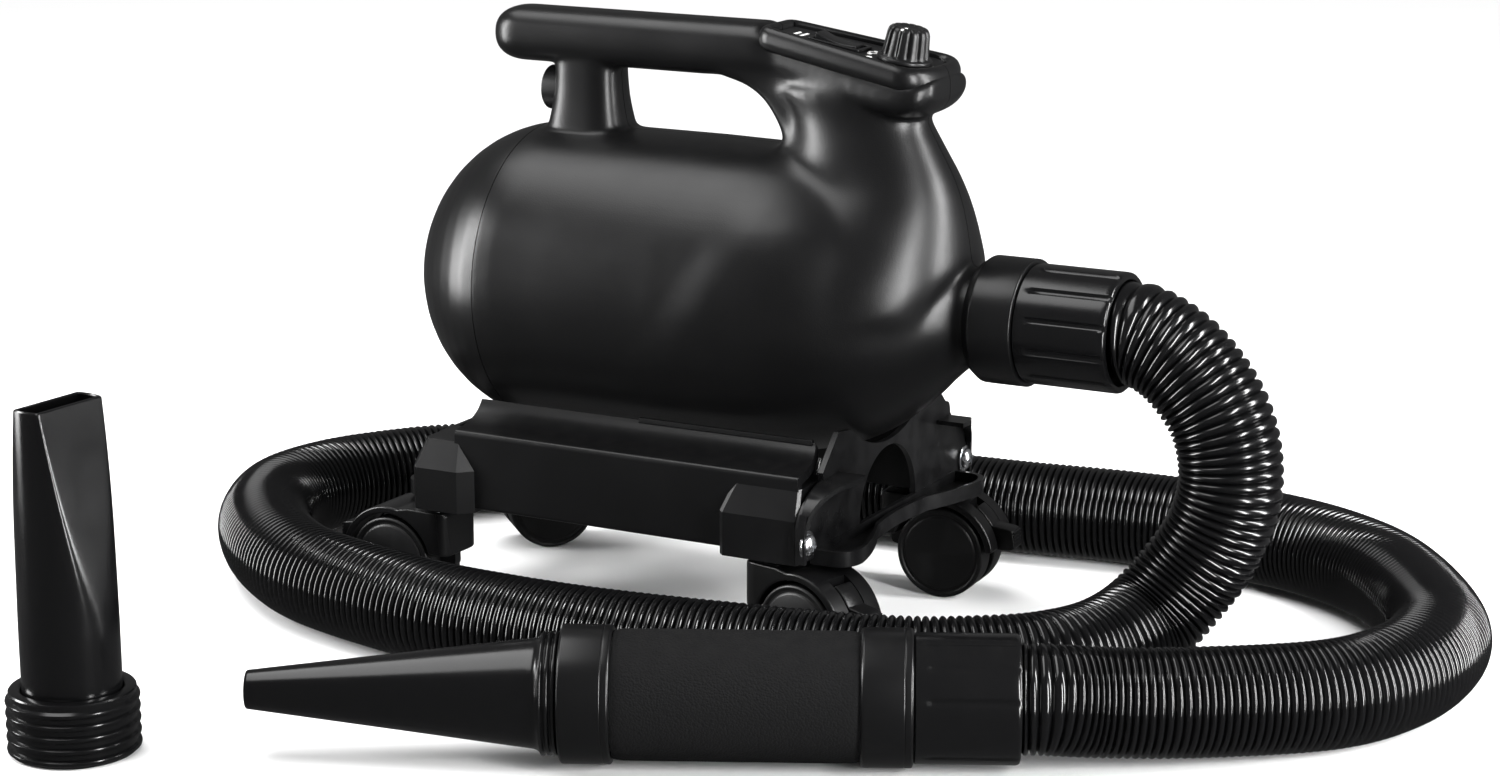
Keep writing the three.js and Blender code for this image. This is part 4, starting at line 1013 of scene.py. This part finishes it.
def end_bridge(front):
    screw_y = 96 if front else 82
    whole = bridge_panel(front)
    parts = [bridge_tray(screw_y - 9)]
    if front:
        parts += [screw_hood(), mirrored(screw_hood(), Y), ear_rim(), mirrored(ear_rim(), Y)]
    combine(whole, parts, "UNION")
    holes = [prism("hole", arc((side * screw_y, 71), 2.8, 0, 345, 23), "X", 118, 128) for side in (-1, 1)]
    bevel(combine(whole, holes, "DIFFERENCE"), 1.0, 3, 28)
    return whole if front else turn(mirrored(whole, X), Matrix.Translation((10, 0, 0)))


finish(end_bridge(True), "front_bridge_moulding", "dryer", satin_dock, ["front_bridge"],
       flat_faces=True)
finish(end_bridge(False), "rear_bridge_moulding", "dryer", satin_dock, ["rear_bridge"],
       flat_faces=True)

# %% [markdown]
# Each bridge is held by two zinc-plated pan-head screws with a washer. A screw is turned from
# its profile, and a cross recess is cut into its head. They are the only bright parts, so they
# are worth doing properly.

# %% Screws
def pan_screw(name):
    head = [(-3, 0.01), (-3, 2.4), (1.25, 2.4), (1.25, 5.4), (1.6, 5.9),
            *bend((1.6, 5.9), (4.4, 5.0), (4.9, 0.01), 8)]
    screw = lathe(name, head, looped=False, sides=48)
    cross = [box("cross", (2.6, -a, -b), (8, a, b)) for a, b in ((0.65, 3.0), (3.0, 0.65))]
    combine(screw, [combine(cross[0], cross[1:], "UNION")], "DIFFERENCE")
    washer = lathe("washer", eased([(0, 2.6), (0, 7.5), (1.1, 7.5), (1.1, 2.6)], 0.3, 3), sides=64)
    return joined(name, [screw, washer])


for end, label, screw_y in ((1, "front", 96), (-1, "rear", 82)):
    for side, hand in ((-1, "near"), (1, "far")):
        face_x = BRIDGE_X + 3.3 if end > 0 else 10 - BRIDGE_X - 3.3
        spot = Matrix.Translation((face_x, side * screw_y, 71)) @ Matrix.Rotation(0.4 * side, 4, "X")
        if end < 0:
            spot = spot @ Matrix.Rotation(math.pi, 4, "Z")
        finish(turn(pan_screw("pan_screw"), spot), f"pan_screw_{label}_{hand}", "dryer",
               bright_zinc, [f"screw_{label}_{hand}"], sharp=30)

# %% [markdown]
# ## Casters
# Four hooded twin-wheel casters swivel on steel stems. The hood covers the wheels from above,
# and a slot in its back takes the brake lever, whose ribbed pedal stands out behind. One caster
# is drawn trailing along +X from its stem, and a matrix turns each copy to the way it stands.
# The hood, each wheel and the lever ride on their own bodies, because they move.

# %% Caster parts
TRAIL, AXLE_Z, WHEEL_R = 28.0, 25.0, 25.0
HOOD_OUTER, HOOD_INNER, HOOD_HALF = 31.2, 27.2, 17.0


def caster_hood():
    centre = (TRAIL, AXLE_Z)
    side = [(-9, 32), (-8, 54), (-6.5, 56.6), (-4, 57), (15, 57), *arc(centre, HOOD_OUTER, 101, 7, 30),
            *arc(centre, HOOD_INNER, 7, 162, 44)]
    hood = prism("hood", side, "Y", -HOOD_HALF, HOOD_HALF)
    plan = eased([(-9, -HOOD_HALF), (70, -HOOD_HALF), (70, HOOD_HALF), (-9, HOOD_HALF)], 10, 8)
    bevel(combine(hood, [prism("plan", plan, "Z", 0, 70)], "INTERSECT"), 1.4, 4, 30)
    web = prism("web", eased([(-6, 24), (TRAIL, 20), (TRAIL + 2, 50), (-6, 52)], 3), "Y", -2.6, 2.6)
    hub = prism("hub", arc(centre, 8, 0, 352, 44), "Y", -2.6, 2.6)
    combine(hood, [web, hub], "UNION")
    slot = [(TRAIL + 13, 20), (TRAIL + 40, 20), (TRAIL + 40, 62), (TRAIL + 13, 62)]
    cuts = [prism("slot", slot, "Y", -6.8, 6.8),
            prism("stem_bore", arc((0, 0), 4.3, 0, 345, 23), "Z", 43, 83),
            prism("axle_bore", arc(centre, 3.3, 0, 345, 23), "Y", -20, 20)]
    return combine(hood, cuts, "DIFFERENCE")


def caster_wheel(side):
    """One wheel disc, turned about Y, with a ring round its flat face and a blind axle hole."""
    profile = [(15.6, 0.01), (15.6, 3.4), (3.2, 3.4), (3.2, 24.2),
               *bend((3.2, 24.2), (3.2, WHEEL_R), (4.2, WHEEL_R), 4), (14.6, WHEEL_R),
               *bend((14.6, WHEEL_R), (16.2, WHEEL_R), (16.3, 23.3), 6),
               (16.0, 22.6), (15.5, 22.0), (15.5, 21.0), (16.1, 20.4), (16.4, 19.6), (16.4, 0.01)]
    wheel = lathe("wheel", profile, looped=False, sides=72)
    return turn(wheel, Matrix.Translation((TRAIL, 0, AXLE_Z)) @ Matrix.Rotation(side * math.pi / 2, 4, "Z"))


def brake_lever():
    centre = (TRAIL, AXLE_Z)
    side = [*arc(centre, HOOD_OUTER + 0.4, 56, 31, 8), (TRAIL + 36.5, AXLE_Z + 15.2),
            (TRAIL + 38.6, AXLE_Z + 14.4), (TRAIL + 40, AXLE_Z + 4.6), (TRAIL + 38, AXLE_Z + 3.4),
            (TRAIL + 31, AXLE_Z + 3), *arc(centre, HOOD_INNER + 0.4, 9, 56, 12)]
    lever = bevel(prism("lever", side, "Y", -6, 6), 0.7, 3, 30)
    ribs = [turn(box("rib", (-0.5, -5.4, -0.45), (0.7, 5.4, 0.45)), Matrix.Translation(
        (TRAIL + 38.9 + 0.14 * (4 - i) * 0.5, 0, AXLE_Z + 5.8 + 1.9 * i))) for i in range(5)]
    return combine(lever, ribs, "UNION")


# %% Four casters
CASTERS = {"front_near": (97, -77, -14), "front_far": (97, 77, 3),
           "rear_near": (-103, -77, 178), "rear_far": (-103, 77, 225)}
for label, (stem_x, stem_y, degrees) in CASTERS.items():
    spot = Matrix.Translation((stem_x, stem_y, 0)) @ Matrix.Rotation(math.radians(degrees), 4, "Z")
    finish(turn(caster_hood(), spot), f"hood_{label}", f"caster_{label}", satin_dock,
           [f"caster_hood_{label}"], flat_faces=True)
    stem = lathe("stem", [(44, 0.01), (44, 3.4), (44.6, 4), (56.5, 4), (56.8, 6.2), (57.3, 6.8),
                          (58.0, 6.8), (58.4, 4), (77.4, 4), (78, 3.4), (78, 0.01)],
                 looped=False, sides=40)
    finish(turn(stem, spot @ Matrix.Rotation(-math.pi / 2, 4, "Y")), f"stem_{label}", f"caster_{label}",
           plain_steel, [f"caster_stem_{label}"])
    axle = lathe("axle", eased([(-15.5, 0.01), (-15.5, 3), (15.5, 3), (15.5, 0.01)], 0.5, 3, closed=False),
                 looped=False, sides=40)
    finish(turn(axle, spot @ Matrix.Translation((TRAIL, 0, AXLE_Z)) @ Matrix.Rotation(math.pi / 2, 4, "Z")),
           f"axle_{label}", f"caster_{label}", plain_steel, [f"caster_axle_{label}"])
    for side, hand in ((-1, "a"), (1, "b")):
        finish(turn(caster_wheel(side), spot), f"twin_wheel_{label}_{hand}", f"wheel_{label}_{hand}",
               wheel_tread, [f"wheel_{label}_{hand}"])
    finish(turn(brake_lever(), spot), f"pedal_{label}", f"brake_{label}", satin_dock,
           [f"brake_lever_{label}"])

# %% [markdown]
# ## Inside the casing
# The motor, its rotor and impeller, the fan casing, the filter and the control board keep their
# working shapes, because the casing hides them, and so does the tube inside the foam grip. They
# still get real finishes, since they can be seen through the intake slots or on a bench.

# %% Finishes for the inner pieces
INNER = {"intake_filter": (filter_foam, "filter_foam"), "motor_mount": (soft_rubber, "mount_rubber"),
         "motor_can": (plain_steel, "steel"), "motor_rotor": (plain_steel, "steel"),
         "impeller": (cast_aluminium, "aluminium"), "fan_casing": (grey_moulding, "inner_grey"),
         "control_board": (circuit_green, "board_green"), "speed_control": (plain_steel, "steel"),
         "switch_body": (knob_satin, "control_black"), "grip_tube": (grey_moulding, "inner_grey")}
for node, (material, slot_name) in INNER.items():
    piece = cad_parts[node]
    piece.data.materials.clear()
    piece.data.materials.append(material)
print("inner pieces", len(INNER))

# %% [markdown]
# ## Floor and light
# Black plastic is seen by what it mirrors. A pale floor and a dim pale room keep the shadows
# open, and a few large soft panels draw the long highlights: one overhead, one behind the rear
# dome, and two upright strips in front for the nose and the hose.

# %% The floor and the room
floor = prism("floor", [(-9000, -9000), (9000, -9000), (9000, 9000), (-9000, 9000)], "Z", -20, 0)
floor.data.transform(TO_SCENE)
paper = bpy.data.materials.new("pale_floor")
paper.use_nodes = True
paper_shader = paper.node_tree.nodes["Principled BSDF"]
paper_shader.inputs["Base Color"].default_value = (0.9, 0.9, 0.9, 1)
paper_shader.inputs["Roughness"].default_value = 0.9
paper_shader.inputs["Specular IOR Level"].default_value = 0.1
floor.data.materials.append(paper)
# Mirror reflections skip the floor, so the black plastic shows the dim room under the panels.
floor.visible_glossy = False

room = bpy.data.worlds.new("room")
scene.world = room
room.use_nodes = True
backdrop = room.node_tree.nodes["Background"]
backdrop.inputs["Color"].default_value = (1, 1, 1, 1)
backdrop.inputs["Strength"].default_value = 0.12


def soft_panel(name, place_mm, aim_mm, width, height, watts):
    """A rectangular area light that faces a point."""
    data = bpy.data.lights.new(name, "AREA")
    data.shape, data.size, data.size_y, data.energy = "RECTANGLE", width, height, watts
    lamp = bpy.data.objects.new(name, data)
    lamp.location = at(*place_mm)
    lamp.rotation_euler = (at(*aim_mm) - lamp.location).to_track_quat("-Z", "Y").to_euler()
    scene.collection.objects.link(lamp)


# Each panel has a place, a point it faces, a width and height in metres, and a power in watts.
soft_panel("overhead", (-550, -260, 1550), (0, 0, 150), 1.5, 0.7, 15)
soft_panel("rear_side", (-1300, -700, 420), (-100, 0, 180), 0.4, 1.1, 38)
soft_panel("front_strip", (1250, -560, 420), (150, 0, 180), 0.16, 1.1, 34)
soft_panel("front_far_strip", (1350, 350, 520), (150, 0, 180), 0.2, 1.2, 34)
# The fill lights the floor evenly and stays out of the reflections.
fill_data = bpy.data.lights.new("floor_fill", "SUN")
fill_data.energy, fill_data.angle = 2.9, math.radians(50)
fill = bpy.data.objects.new("floor_fill", fill_data)
fill.rotation_euler = (math.radians(8), math.radians(-10), 0)
fill.visible_glossy = False
scene.collection.objects.link(fill)
scene.view_settings.view_transform = "Standard"
scene.view_settings.look = "None"
